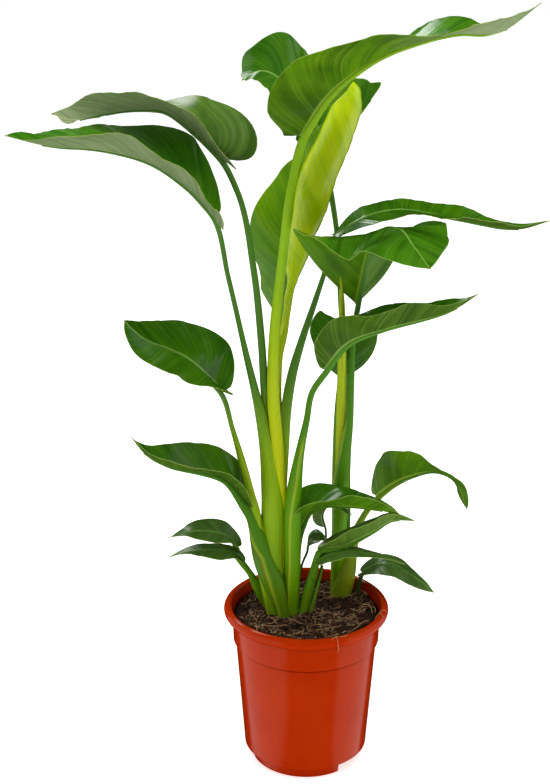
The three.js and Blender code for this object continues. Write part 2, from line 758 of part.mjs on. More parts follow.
function soilSolid(stalks) {
  const { sectors, rings, edge, edgeDrop } = SOIL;
  const points = [new THREE.Vector3(0, 0, soilHeight(0, 0))];
  const addRing = (radius, height) => {
    for (let j = 0; j < sectors; j += 1) {
      const turn = 2 * Math.PI * j / sectors;
      const x = radius * Math.cos(turn);
      const y = radius * Math.sin(turn);
      points.push(new THREE.Vector3(x, y, height(x, y)));
    }
  };
  rings.forEach((radius) => addRing(radius, soilHeight));
  addRing(edge, (x, y) => soilHeight(x, y) - edgeDrop);
  const wall = wallInside().slice(0, -1).reverse();
  for (const [radius, z] of wall) {
    addRing(radius - SOIL_GAP, () => z + SOIL_GAP);
  }
  const ringCount = rings.length + 1 + wall.length;
  const bottom = points.length;
  points.push(new THREE.Vector3(0, 0, POT.floor + SOIL_GAP));
  const triangles = [];
  for (let j = 0; j < sectors; j += 1) {
    const next = (j + 1) % sectors;
    triangles.push(0, 1 + j, 1 + next);
    for (let i = 0; i < ringCount - 1; i += 1) {
      const a = 1 + i * sectors;
      triangles.push(a + j, a + sectors + j, a + sectors + next);
      triangles.push(a + j, a + sectors + next, a + next);
    }
    const low = 1 + (ringCount - 1) * sectors;
    triangles.push(low + j, bottom, low + next);
  }
  return stalks.reduce((soil, stalk) => soil.subtract(stalk), solidFrom(points, triangles));
}

// The whole part

const MAIN_CLUMP = [
  ['leaf_young', [youngLeaf], COLOUR.youngLeaf],
  ['leaf_top_right', [topRightLeaf], COLOUR.matureLeaf],
  ['leaf_left_upper', [upperLeftLeaf], COLOUR.matureLeaf],
  ['leaf_right_long', [longRightLeaf], COLOUR.matureLeaf],
  ['leaf_left_long', [longLeftLeaf], COLOUR.matureLeaf],
  ['leaf_right_lower', [lowerRightLeaf], COLOUR.matureLeaf],
  ['leaf_left_middle', [middleLeftLeaf], COLOUR.matureLeaf],
  ['leaf_left_low', [lowLeftLeaf], COLOUR.matureLeaf],
  ['leaf_pair_left', [smallLeftLower, smallLeftUpper], COLOUR.smallLeaf],
  ['leaf_low_right', [lowRightLeaf], COLOUR.smallLeaf],
  ['leaf_pair_right', [smallRightUpper, smallRightLower, smallSpear], COLOUR.smallLeaf],
  ['leaf_tiny_upper', [tinyUpperLeaf], COLOUR.smallLeaf],
  ['leaf_tiny_lower', [tinyLowerLeaf], COLOUR.smallLeaf],
];

const SECOND_CLUMP = [
  ['leaf_spear', [rolledSpear], COLOUR.youngLeaf],
  ['leaf_top_back', [topBackLeaf], COLOUR.matureLeaf],
  ['leaf_back_middle', [backMiddleLeaf], COLOUR.matureLeaf],
  ['leaf_right_arching', [archingLeaf], COLOUR.matureLeaf],
  ['leaf_right_hanging', [hangingLeaf], COLOUR.matureLeaf],
  ['leaf_rim_right', [rimLeaf], COLOUR.smallLeaf],
];

function meshOf(name, solid, colour, roughness) {
  const mesh = solid.getMesh();
  const geometry = geometryOf(Array.from(mesh.vertProperties), Array.from(mesh.triVerts));
  geometry.computeVertexNormals();
  const material = new THREE.MeshStandardMaterial({ color: colour, roughness, metalness: 0 });
  const node = new THREE.Mesh(geometry, material);
  node.name = name;
  return node;
}

function buildPart() {
  const part = new THREE.Group();
  part.name = 'potted_bird_of_paradise';
  const leaves = [...clump(MAIN_CLUMP), ...clump(SECOND_CLUMP)];
  const rooted = [...MAIN_CLUMP, ...SECOND_CLUMP].flatMap(([, members]) => members);
  const holes = rooted.map((leaf) => stalkSolid(leaf, SOIL_GAP));
  part.add(meshOf('pot', potSolid(), COLOUR.pot, 0.45));
  part.add(meshOf('soil', soilSolid(holes), COLOUR.soil, 0.95));
  for (const [name, solid, colour] of leaves) {
    part.add(meshOf(name, solid, colour, 0.5));
  }
  return part;
}

export default buildPart();
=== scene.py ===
"""The finished look of a potted bird of paradise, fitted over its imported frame.

Sizes of leaves, pot and soil are in millimetres, as on the drawing, and angles in degrees.
Meshes are made in metres.
"""
import math
import random

import bpy
import numpy as np
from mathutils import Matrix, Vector, noise


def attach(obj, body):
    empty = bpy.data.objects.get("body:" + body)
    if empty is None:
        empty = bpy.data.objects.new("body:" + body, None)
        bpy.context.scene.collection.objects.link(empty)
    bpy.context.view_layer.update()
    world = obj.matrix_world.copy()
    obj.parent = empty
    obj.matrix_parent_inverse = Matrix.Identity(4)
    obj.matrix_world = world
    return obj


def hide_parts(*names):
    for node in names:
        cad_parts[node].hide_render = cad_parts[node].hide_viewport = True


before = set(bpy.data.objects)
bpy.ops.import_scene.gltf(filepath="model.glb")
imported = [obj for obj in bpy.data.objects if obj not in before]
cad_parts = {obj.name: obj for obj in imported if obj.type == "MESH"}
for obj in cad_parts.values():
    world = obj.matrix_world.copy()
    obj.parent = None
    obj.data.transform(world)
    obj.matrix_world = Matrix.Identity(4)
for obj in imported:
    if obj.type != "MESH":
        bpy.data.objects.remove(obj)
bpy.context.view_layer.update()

bl_info = {
    "name": "Potted bird of paradise",
    "version": (1, 0, 0),
    "blender": (4, 5, 0),
    "location": "3D View > Sidebar > Plant",
    "description": "Leaves, stems, pot, soil and stage of a potted bird of paradise",
    "category": "Add Mesh",
}

MM = 0.001

# Leaves
#
# facing: compass direction of the blade, degrees from +X towards +Y
# stalk: points from the soil up: x, y, z, half width across and half width deep
# midrib: points of the blade's midrib: x, y, z
# half: widest half width of the left and the right half, seen from the stalk
# left_fold, right_fold: angle of each half above the midrib plane at even steps to the tip
# left_curl, right_curl: further turn over each half's width, at the stalk and at the tip
# lean: how far the side veins lean towards the tip, keyed by place along the midrib, where it
# isn't as in ROUND_BASE
# base_taper: given for a blade that narrows to its stalk instead of having rounded lobes
# left_outline, right_outline: share of the half width, keyed by place, for an outline of its own
# margin: (z, turn) of the sheath's free edge round the stalk, 0 on +X and -90 in front
# over: +1 or -1, the side of that edge on which the sheath lies on top

ROUND_BASE = [(0, -50), (0.2, -8), (0.5, 18), (1, 30)]

YOUNG = dict(
    facing=60, half=(60, 105),
    stalk=[(-25, 19, 291, 3, 3), (-28, 24, 351, 4.3, 4.3), (-33, 29, 410, 5.2, 5.2),
        (-34, 32, 457, 5.3, 5.3), (-32, 36, 485, 5, 5)],
    midrib=[(-29, 40, 508), (-18, 46, 568), (-5, 52, 627), (12, 60, 677), (30, 70, 718),
        (43, 78, 750), (48, 84, 775)],
    left_fold=[-45, -5, 30, 10, 12, 16],
    right_fold=[-30, -30, -25, -20, -20, -20],
    left_curl=(-20, -20), right_curl=(300, 290),
    left_outline=[(0, 0), (0.06, 0.38), (0.18, 0.78), (0.3, 0.93), (0.4, 1), (0.55, 0.84),
        (0.68, 0.6), (1, 0)],
    right_outline=[(0, 0), (0.1, 0.1), (0.2, 0.25), (0.35, 0.6), (0.5, 1), (0.7, 0.95),
        (0.88, 0.82), (0.96, 0.6), (1, 0)],
    lean=[(0, -20), (0.2, -8), (0.5, 18), (1, 30)],
    margin=[(300, -60), (420, -80), (480, -95)], over=1,
)

TOP_RIGHT = dict(
    facing=0, half=(53, 78),
    stalk=[(-29, 10, 140, 4.7, 5.3), (-29, 10, 244, 5.2, 5.8), (-29, 10, 332, 6.2, 6.8),
        (-34, 9, 394, 7, 7), (-38, 8, 446, 6.8, 6.8), (-37, 6, 513, 6, 6), (-28, 2, 606, 5.2, 5.2),
        (-18, -2, 690, 4.6, 4.6)],
    midrib=[(-9, -6, 742), (21, -16, 789), (64, -28, 825), (105, -36, 843), (145, -40, 853),
        (189, -40, 855), (229, -36, 883)],
    left_fold=[5, -10, 0, 20, 10, 0],
    right_fold=[145, 65, 30, 10, 35, 10],
    left_curl=(-25, 10), right_curl=(-10, 5),
    left_outline=[(0, 0), (0.03, 0.44), (0.1, 0.71), (0.2, 0.91), (0.36, 1), (0.58, 0.79),
        (0.86, 0.36), (1, 0)],
    right_outline=[(0, 0), (0.03, 0.4), (0.1, 0.66), (0.2, 0.8), (0.27, 0.86), (0.36, 1),
        (0.46, 0.88), (0.72, 0.55), (0.86, 0.33), (1, 0)],
    margin=[(250, -140), (390, -150), (440, -160)], over=1,
)

LEFT_UPPER = dict(
    facing=190, half=(52, 76),
    stalk=[(-33, 16, 330, 2.8, 3.4), (-38, 16, 373, 3.9, 4.5), (-46, 15, 431, 4.5, 4.5),
        (-51, 12, 511, 4.2, 4.2), (-59, 7, 593, 3.6, 3.6), (-77, 1, 684, 3.1, 3.1)],
    midrib=[(-90, -4, 717), (-114, -16, 744), (-146, -30, 772), (-173, -44, 778), (-208, -56, 776),
        (-235, -66, 772), (-259, -72, 779)],
    left_fold=[5, 10, 20, 40, 75, 75],
    right_fold=[110, 25, -20, -5, 0, 10],
    left_curl=(0, -5), right_curl=(10, -35),
)

RIGHT_LONG = dict(
    facing=10, half=(36, 36),
    stalk=[(-26, 22, 302, 2.9, 3.4), (-26, 22, 338, 4, 4.6), (-25, 23, 382, 5.2, 6),
        (-24, 24, 417, 6, 6), (-17, 27, 465, 5.4, 5.4), (-6, 31, 505, 4.2, 4.2),
        (7, 37, 544, 3.3, 3.3), (20, 43, 584, 2.6, 2.6)],
    midrib=[(30, 50, 622), (63, 66, 636), (100, 86, 639), (138, 108, 629), (181, 132, 614),
        (241, 154, 598), (284, 166, 605)],
    left_fold=[-10, 5, 10, 25, 15, 5],
    right_fold=[-5, 5, 10, 20, 25, 35],
    left_curl=(-15, 5), right_curl=(-10, 15),
)

LEFT_LONG = dict(
    facing=188, half=(55, 65),
    stalk=[(-29, 14, 138, 10.6, 16.5), (-31, 14, 178, 10.5, 17.5), (-38, 14, 242, 13.3, 17.3),
        (-38, 14, 325, 13.7, 15.5), (-45, 13, 386, 9, 10), (-54, 10, 433, 5.6, 6),
        (-67, 5, 494, 3.6, 3.6), (-86, -6, 588, 2.7, 2.7)],
    midrib=[(-100, -20, 661), (-124, -44, 695), (-161, -80, 731), (-207, -118, 753),
        (-252, -150, 764), (-291, -172, 779)],
    left_fold=[-5, 5, 20, 45, 45, 15],
    right_fold=[25, 40, 10, 10, 15, 20],
    left_curl=(10, -20), right_curl=(0, -10),
    margin=[(187, -45), (235, -40), (297, -35), (341, -5), (386, 0), (431, -10)], over=-1,
)

RIGHT_LOWER = dict(
    facing=-4, half=(39, 35),
    stalk=[(-17, 13, 139, 9.4, 14), (-17, 12, 179, 9.3, 15), (-16, 8, 245, 9.7, 15),
        (-15, 3, 324, 9.3, 13), (-8, -3, 386, 5, 5.6), (-1, -7, 424, 3.7, 3.8),
        (5, -11, 459, 3.4, 3.4)],
    midrib=[(19, -14, 487), (43, -22, 519), (79, -32, 538), (128, -40, 554), (155, -42, 565),
        (179, -40, 581)],
    left_fold=[20, 20, 25, 25, 30, 0],
    right_fold=[140, 85, 50, 65, 40, 10],
    left_curl=(0, -5), right_curl=(-5, 10),
    margin=[(200, -120), (303, -115), (353, -95), (401, -100)], over=1,
)

LEFT_MIDDLE = dict(
    facing=200, half=(37, 46),
    stalk=[(-34, 8, 141, 9.4, 13), (-37, 8, 181, 10.5, 14), (-48, 8, 245, 10.9, 12.7),
        (-57, 7, 288, 8.6, 10.3), (-64, 6, 328, 5.7, 5.7), (-73, 5, 369, 4.3, 4.3),
        (-83, 4, 408, 2.9, 2.9)],
    midrib=[(-95, 4, 455), (-127, -14, 496), (-148, -26, 513), (-171, -42, 529), (-186, -52, 545),
        (-194, -58, 557)],
    left_fold=[30, 5, -25, -40, -65, -80],
    right_fold=[50, 70, 35, 25, 20, 10],
    left_curl=(-10, -25), right_curl=(15, 5),
    margin=[(225, -125), (268, -65), (291, -55), (309, -5), (341, -20), (374, -55)], over=-1,
)

LEFT_LOW = dict(
    facing=195, half=(30, 37),
    stalk=[(-26, 1, 145, 8.2, 9.3), (-28, 1, 181, 8.7, 10.4), (-39, 1, 223, 13, 11.5),
        (-49, 1, 249, 11.8, 10.3), (-55, 1, 274, 9.6, 8), (-63, 0, 301, 5.4, 4.8)],
    midrib=[(-68, 0, 321), (-90, -14, 356), (-122, -30, 373), (-144, -42, 382), (-163, -52, 394),
        (-178, -60, 408), (-190, -66, 428)],
    left_fold=[10, 20, 25, 30, 25, 20],
    right_fold=[20, 30, 40, 50, 25, 5],
    left_curl=(0, 5), right_curl=(15, -15),
    margin=[(183, -115), (216, -110), (254, -95), (293, -175)], over=1,
)

PAIR_LEFT_UPPER = dict(
    facing=190, half=(17, 20),
    stalk=[(-66, 17, 222, 1.7, 1.7), (-72, 16, 239, 1.8, 1.8)],
    midrib=[(-79, 14, 259), (-93, 8, 277), (-116, 0, 286), (-138, -8, 288), (-157, -14, 284)],
    left_fold=[20, 5, -20, -25, 0, 20],
    right_fold=[50, 25, 20, 20, -5, -25],
    left_curl=(-5, -10), right_curl=(10, -5),
)

PAIR_LEFT_LOWER = dict(
    facing=180, half=(16, 16),
    stalk=[(-31, 20, 141, 3.5, 4.1), (-40, 20, 172, 4.7, 5.3), (-49, 19, 188, 5.4, 5.4),
        (-57, 18, 207, 5.6, 5.6), (-65, 15, 225, 3.7, 3.7)],
    midrib=[(-72, 10, 243), (-84, 4, 257), (-107, -2, 263), (-129, -8, 265), (-156, -14, 260)],
    left_fold=[25, 5, -20, -10, 15, 35],
    right_fold=[25, 5, 5, 5, 10, 10],
    left_curl=(-5, 0), right_curl=(-5, 0),
)

SPEAR = dict(
    stalk=[(41, 54, 140, 4.2, 4.2), (40, 51, 247, 4.7, 4.7), (39, 47, 337, 5.6, 5.6),
        (39, 38, 415, 5.7, 5.7), (38, 22, 500, 4.4, 4.4), (36, 10, 568, 2.2, 2.2),
        (34, 6, 590, 0.7, 0.7)],
    margin=[(200, -60), (400, -75), (500, -90), (580, -120)], over=1,
)

TOP_BACK = dict(
    facing=150, half=(50, 96),
    stalk=[(46, 57, 145, 4.2, 4.2), (46, 60, 185, 4.4, 4.4), (48, 67, 242, 4.7, 4.7),
        (47, 78, 353, 4.6, 4.6), (45, 86, 437, 4.1, 4.1), (39, 93, 531, 3.4, 3.4),
        (33, 98, 614, 3, 3)],
    midrib=[(20, 104, 693), (6, 110, 737), (-14, 116, 763), (-36, 122, 782), (-54, 125, 786),
        (-72, 126, 776)],
    left_fold=[-40, 0, 0, -20, -30, -30],
    right_fold=[48, 40, 5, 25, 45, 40],
    left_curl=(0, 0), right_curl=(0, 0),
    left_outline=[(0, 0), (0.1, 0.75), (0.25, 1), (0.5, 0.75), (0.65, 0.5), (0.8, 0.36),
        (0.93, 0.2), (1, 0)],
    right_outline=[(0, 0.1), (0.06, 0.8), (0.12, 1), (0.2, 0.86), (0.3, 0.69), (0.5, 0.59),
        (0.7, 0.58), (0.85, 0.35), (0.95, 0.15), (1, 0)],
    lean=[(0, 30), (0.25, 25), (0.5, 20), (1, 30)],
)

BACK_MIDDLE = dict(
    facing=85, half=(42, 44),
    stalk=[(36, 62, 145, 3.6, 3.6), (36, 66, 190, 3.7, 3.7), (35, 79, 352, 3.9, 3.9),
        (37, 83, 408, 3.7, 3.7)],
    midrib=[(40, 84, 441), (42, 90, 467), (44, 102, 487), (47, 122, 495), (49, 144, 484),
        (51, 156, 462)],
    left_fold=[30, 20, 10, 10, 10, 10],
    right_fold=[15, 15, 15, 20, 20, 15],
    left_curl=(10, 10), right_curl=(10, 10),
    lean=[(0, 20), (0.3, 15), (1, 25)],
)

ARCHING = dict(
    facing=-45, half=(78, 97), base_taper=1.1,
    stalk=[(38, 54, 140, 9.6, 10.8), (39, 54, 181, 9.5, 10.7), (39, 48, 264, 9, 10.6),
        (41, 41, 331, 9.5, 10), (44, 36, 371, 7, 7.5), (48, 32, 407, 4.6, 4.8),
        (49, 26, 453, 3.7, 3.7), (51, 19, 518, 3.1, 3.1)],
    midrib=[(53, 14, 552), (64, 0, 616), (76, -26, 648), (93, -60, 657), (104, -94, 649),
        (119, -122, 633)],
    left_fold=[-10, 2, -20, -18, 0, 0],
    right_fold=[35, 40, 10, -18, -10, -10],
    left_curl=(0, 0), right_curl=(5, 0),
    lean=[(0, 15), (0.25, 18), (0.5, 18), (1, 25)],
    margin=[(200, -150), (326, -175), (372, -155), (407, -170)], over=1,
)

HANGING = dict(
    facing=-15, half=(34, 38),
    stalk=[(38, 45, 140, 9.6, 9.6), (42, 46, 181, 11.9, 10.7), (48, 47, 210, 11.1, 10),
        (53, 50, 237, 8, 7.7), (60, 53, 264, 4.5, 4.5), (71, 57, 284, 3.5, 3.5)],
    midrib=[(83, 62, 302), (101, 54, 320), (122, 45, 335), (148, 34, 345), (171, 26, 335),
        (184, 20, 304)],
    left_fold=[10, -5, -15, -25, -30, -35],
    right_fold=[140, 110, 65, 25, 35, 40],
    left_curl=(-10, -15), right_curl=(15, 5),
)

RIM = dict(
    facing=-20, half=(20, 22),
    stalk=[(60, 41, 142, 2.9, 2.9), (61, 43, 178, 2.8, 2.8), (64, 49, 196, 2.5, 2.5)],
    midrib=[(67, 56, 206), (85, 48, 220), (105, 40, 222), (124, 33, 213), (139, 28, 204),
        (150, 25, 195)],
    left_fold=[30, 10, 0, 0, -5, -10],
    right_fold=[0, -5, -10, -15, -20, -20],
    left_curl=(10, -5), right_curl=(5, -15),
)

LOW_RIGHT = dict(
    facing=-10, half=(32, 33),
    stalk=[(-11, 34, 127, 3.6, 3.6), (-11, 33, 180, 3.8, 3.8), (-10, 26, 235, 3.3, 3.3)],
    midrib=[(-8, 18, 278), (3, 14, 303), (21, 8, 314), (48, -2, 318), (78, -12, 318),
        (103, -20, 316)],
    left_fold=[70, 50, 20, 15, 25, 35],
    right_fold=[30, 25, 25, 50, 55, 55],
    left_curl=(5, 0), right_curl=(5, 20),
)

PAIR_RIGHT_UPPER = dict(
    facing=5, half=(20, 20),
    stalk=[(-6, 10, 140, 5.9, 7), (-2, 9, 183, 6.3, 7), (9, 5, 234, 4.9, 5.2), (13, 3, 253, 3.9, 4)],
    midrib=[(15, 2, 263), (38, -3, 268), (56, -8, 278), (78, -14, 294), (95, -18, 307),
        (120, -24, 310)],
    left_fold=[5, 35, 30, 30, 35, 35],
    right_fold=[30, 50, 65, 65, 70, 75],
    left_curl=(-5, -5), right_curl=(5, 15),
)

PAIR_RIGHT_LOWER = dict(
    facing=-5, half=(15, 15),
    stalk=[(7, 2, 223, 2.5, 2.5), (10, 0, 238, 2.3, 2.3)],
    midrib=[(12, -2, 249), (27, -6, 260), (49, -11, 266), (69, -16, 265), (92, -21, 262),
        (110, -26, 257)],
    left_fold=[5, 0, -10, -5, 0, 5],
    right_fold=[-25, -15, 0, 5, 10, 15],
    left_curl=(5, -5), right_curl=(-10, 5),
)

PAIR_RIGHT_SPEAR = dict(
    stalk=[(-3, 8, 142, 2, 2), (2, 4, 165, 2, 2), (6, 1, 184, 2, 2), (12, -1, 211, 1.8, 1.8),
        (19, -3, 243, 0.7, 0.7)],
)

TINY_UPPER = dict(
    facing=-20, half=(9, 19),
    stalk=[(8, 42, 153, 1.4, 1.4), (15, 41, 199, 1.4, 1.4), (20, 37, 237, 1.3, 1.3)],
    midrib=[(21, 32, 276), (18, 30, 292), (24, 28, 304), (36, 26, 304), (52, 24, 295)],
    left_fold=[20, 20],
    right_fold=[20, 20],
    left_curl=(0, 0), right_curl=(0, 0),
    lean=[(0, 25), (1, 35)],
)

TINY_LOWER = dict(
    facing=-10, half=(7, 16),
    stalk=[(-13, 46, 144, 1.5, 1.5), (-9, 44, 191, 1.5, 1.5), (-4, 38, 226, 1.4, 1.4)],
    midrib=[(1, 30, 249), (3, 27, 264), (10, 24, 273), (18, 21, 271), (23, 18, 265)],
    left_fold=[10, 10],
    right_fold=[0, -60, -60],
    left_curl=(0, 0), right_curl=(0, 0),
    lean=[(0, 20), (1, 20)],
)

# Each piece: node that it replaces, material slot, leaves in it, and its blades' and stalks' finish
MAIN_CLUMP = [
    ("leaf_young", "leaf_young", [YOUNG], "young", "lime"),
    ("leaf_top_right", "leaf_mature", [TOP_RIGHT], "clouded", "bright"),
    ("leaf_left_upper", "leaf_mature", [LEFT_UPPER], "dull", "plain"),
    ("leaf_right_long", "leaf_mature", [RIGHT_LONG], "mature", "plain"),
    ("leaf_left_long", "leaf_mature", [LEFT_LONG], "pale", "plain"),
    ("leaf_right_lower", "leaf_mature", [RIGHT_LOWER], "mature", "fresh"),
    ("leaf_left_middle", "leaf_mature", [LEFT_MIDDLE], "mature", "plain"),
    ("leaf_left_low", "leaf_mature", [LEFT_LOW], "mature", "deep"),
]
SECOND_CLUMP = [
    ("leaf_spear", "leaf_young", [SPEAR], "young", "lime"),
    ("leaf_top_back", "leaf_mature", [TOP_BACK], "mature", "deep"),
    ("leaf_back_middle", "leaf_mature", [BACK_MIDDLE], "mature", "olive"),
    ("leaf_right_arching", "leaf_mature", [ARCHING], "bright", "fresh"),
    ("leaf_right_hanging", "leaf_mature", [HANGING], "bright", "olive"),
]
SMALL_SHOOTS = [
    ("leaf_pair_left", "leaf_small", [PAIR_LEFT_LOWER, PAIR_LEFT_UPPER], "small", "small"),
    ("leaf_low_right", "leaf_small", [LOW_RIGHT], "bright", "small"),
    ("leaf_pair_right", "leaf_small", [PAIR_RIGHT_UPPER, PAIR_RIGHT_LOWER, PAIR_RIGHT_SPEAR],
     "small", "small"),
    ("leaf_tiny_upper", "leaf_small", [TINY_UPPER], "small", "tiny"),
    ("leaf_tiny_lower", "leaf_small", [TINY_LOWER], "small", "tiny"),
    ("leaf_rim_right", "leaf_small", [RIM], "small", "tiny"),
]

# Pot: radii and heights
#
# bead: radius and height of its middle, and radius of its section
# lip: how far the mouth's edge lies inside that middle and above it
# neck: height of its top and of the bead's shoulder, and the step out between them
# collar: radius at its top and bottom, height of its lower edge, and of the ledge there
# body: radius at its top and bottom, and height of its bottom
# foot: radius at its top and bottom, height, and thickness of the ring
# rounding: of the wall's corners and of the rim's
# drain: number of holes, radius of their circle and of each hole
# drill: sides, and reach below and above the floor

POT = dict(
    wall=1.8, floor=13, floor_thickness=2,
    bead=(89, 188.8, 6.1), bead_arc=(-85, 100, 16), lip=(2.6, 4.6),
    neck=(179, 181.8, 0.6), collar=(85.2, 84.3, 151.5, 1),
    body=(81.5, 71.5, 15.5), body_inset=0.9, foot=(63.5, 62.5, 10.5, 2.4), chamfer=(2.5, 1),
    inside_top=180, floor_fillet=4, rounding=(0.5, 0.8), sharp_degrees=40, sectors=160,
    drain=(8, 44, 5), drill=(24, 6, 4),
    notches=(-34, 146), notch_degrees=38, notch_height=9, notch_edge_degrees=0.2,
)

# Soil: the even top is a dish that rises to one side, with wide and narrow bumps
#
# clods, grit: width, height, number of octaves and place in the noise

SOIL = dict(level=178.5, dish=6, rise=(0.02, -0.03), edge=81.8, edge_drop=2.5, edge_width=6,
            bumps=(1.6, 0.6), wide=(9, 8), narrow=(5, 6), gap=0.4, sectors=216, rings=74,
            clods=(9, 2.2, 4, 0.3), grit=(2.6, 1.0, 3, 7.1))

# Loose bits lie within reach of the axis, and least and growth give their size. A share of them
# lies beside stalks, between these distances from a stalk's surface.

CRUMBS = dict(seed=11, reach=79.5, least=0.5, growth=2.2, spread=(0.6, 1.3), swell=(0.75, 1.2),
              rise=0.3, flatness=0.8)
FIBRES = dict(seed=23, reach=78, farthest=80, least=6, growth=26, steps=5, rise=(0.2, 3.4),
              bend=0.9, thickness=(0.4, 0.8), sides=4)
BESIDE_STALKS = 0.25
BESIDE_REACH = (-0.5, 5)

# A strand has a ring of points at every step. Its ends have a share of its thickness, which grows
# by so many times the share of the length.
STRAND_STEP = 2.5
STRAND_END = 0.35
STRAND_GROWTH = 5

# Numbers


def soft_step(x):
    """0 below 0 and 1 above 1, with a smooth rise between."""
    x = np.clip(x, 0, 1)
    return x * x * (3 - 2 * x)


def keyed(keys, x):
    """Values at x between keys (place, value), with a soft step from key to key."""
    places, values = np.array(keys, float).T
    x = np.clip(x, places[0], places[-1])
    i = np.clip(np.searchsorted(places, x, side="left") - 1, 0, len(places) - 2)
    share = soft_step((x - places[i]) / (places[i + 1] - places[i]))
    return values[i] + (values[i + 1] - values[i]) * share


def evenly_keyed(values, x):
    return keyed(list(zip(np.linspace(0, 1, len(values)), values)), x)


def unit(vectors):
    return vectors / np.linalg.norm(vectors, axis=-1, keepdims=True)


def smooth_path(points, places, even_knots=True):
    """Points and directions at shares of the length of a smooth curve through points.

    Even knots suit points that lie about evenly, otherwise the knots follow the distances.
    Further columns, such as half widths, are carried along.
    """
    points = np.array(points, float)
    gaps = np.linalg.norm(np.diff(points[:, :3], axis=0), axis=1)
    steps = np.ones(len(gaps)) if even_knots else gaps
    knots = np.concatenate([[0], np.cumsum(steps)])
    slopes = np.diff(points, axis=0) / steps[:, None]
    before, after = steps[:-1, None], steps[1:, None]
    inner = (slopes[:-1] * after + slopes[1:] * before) / (before + after)
    tangents = np.vstack([slopes[:1], inner, slopes[-1:]])

    def at(knot):
        i = np.clip(np.searchsorted(knots, knot, side="right") - 1, 0, len(steps) - 1)
        h = steps[i][:, None]
        w = (np.asarray(knot) - knots[i])[:, None] / h
        return (points[i] * (1 + 2 * w) * (1 - w) ** 2 + points[i + 1] * w * w * (3 - 2 * w)
                + tangents[i] * h * w * (1 - w) ** 2 + tangents[i + 1] * h * w * w * (w - 1))

    fine = np.linspace(0, knots[-1], 401)
    lengths = np.linalg.norm(np.diff(at(fine)[:, :3], axis=0), axis=1)
    lengths = np.concatenate([[0], np.cumsum(lengths)])
    knot = np.interp(np.asarray(places) * lengths[-1], lengths, fine)
    small = knots[-1] * 1e-4
    ahead = at(np.minimum(knot + small, knots[-1]))[:, :3]
    behind = at(np.maximum(knot - small, 0))[:, :3]
    return at(knot), unit(ahead - behind), lengths[-1]


# Pieces


def placed(piece):
    bpy.context.scene.collection.objects.link(piece)
    return piece


def mesh_piece(name, points, faces, materials=(), smooth=True):
    """A piece in the scene, from points in millimetres."""
    mesh = bpy.data.meshes.new(name)
    mesh.from_pydata((np.array(points) * MM).tolist(), [], faces)
    mesh.polygons.foreach_set("use_smooth", [smooth] * len(faces))
    for material in materials:
        mesh.materials.append(material)
    return placed(bpy.data.objects.new(name, mesh))


def belongs(piece, slot, *nodes):
    """The piece rides on the part's one body and stands for nodes. The slot is not used."""
    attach(piece, "root")
    if nodes:
        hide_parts(*nodes)


# Skins
#
# Every corner of a leaf's faces carries three pairs of surface numbers, as UV maps:
# place   share across (-1 to 1) or round the stalk (0 to 1), and share of the length
# size    metres from the midrib or round the stalk, and metres along the blade or above ground
# edge    metres to the blade's margin or past the sheath's free edge, and where a sheath ends

MAPS = ("place", "size", "edge")

# Material slots of a leaf
UPPER, UNDERSIDE, MARGIN, STALK = range(4)


class Skin:
    """Closed skins that make up one piece."""

    def __init__(self):
        self.points = []
        self.faces = []
        self.slots = []
        self.maps = {name: [] for name in MAPS}

    def add(self, rings, slots, maps):
        """A closed skin through rings (rows, columns, 3), with flat ends.

        slots has one material number per column, and each map one column more than the rings,
        so that it can run on past the seam.
        """
        rows, columns = rings.shape[:2]
        start = sum(len(p) for p in self.points)
        i, j = [n.reshape(-1) for n in np.indices((rows - 1, columns))]
        k = (j + 1) % columns
        quads = np.stack([i * columns + j, i * columns + k,
                          (i + 1) * columns + k, (i + 1) * columns + j], -1)
        corners = {name: np.stack([m[i, j], m[i, j + 1], m[i + 1, j + 1], m[i + 1, j]], 1)
                   for name, m in maps.items()}
        flat = rings.reshape(-1, 3)
        a, b, c, d = [flat[quads[:, n]] - flat.mean(0) for n in range(4)]
        volume = (np.cross(a, b) * c).sum() + (np.cross(a, c) * d).sum()
        order = 1 if volume > 0 else -1
        self.faces += (quads[:, ::order] + start).tolist()
        self.slots += np.asarray(slots)[j].tolist()
        for end, turn in ((0, -order), (rows - 1, order)):
            self.faces.append((start + end * columns + np.arange(columns)[::turn]).tolist())
            self.slots.append(slots[0])
        for name, m in maps.items():
            self.maps[name].append(corners[name][:, ::order].reshape(-1, 2))
            self.maps[name].append(m[0, :columns][::-order])
            self.maps[name].append(m[-1, :columns][::order])
        self.points.append(flat)

    def piece(self, name, materials):
        made = mesh_piece(name, np.concatenate(self.points), self.faces, materials)
        made.data.polygons.foreach_set("material_index", self.slots)
        for map_name, corners in self.maps.items():
            layer = made.data.uv_layers.new(name=map_name)
            layer.data.foreach_set("uv", np.concatenate(corners).reshape(-1))
        made.data.update()
        return made


# Blades

# The outline: where it is widest, how round it rises there and how hollow it falls to the tip
BLADE_WIDEST = 0.36
BASE_ROUNDNESS = 2.2
TIP_HOLLOW = 0.12
ROUNDED_LOBES = 0.5

# The least half width, at the stalk and at the tip
BLADE_END_HALF = 1.5
BLADE_TIP_HALF = 0.7

# The grid: rows and columns in each half, and how much closer the rows lie at the stalk. A blade
# of the big half width or more has the big grid, and waves of their full height.
BIG_GRID = (72, 16)
SMALL_GRID = (48, 10)
BIG_HALF = 30
ROW_CROWDING = 1.15

# How far a side vein runs on towards the tip for each millimetre that it runs out
VEIN_SLANT = 0.55

# Share of a side vein's lean at the midrib and at the margin
VEIN_LEAN = (0.75, 1.25)

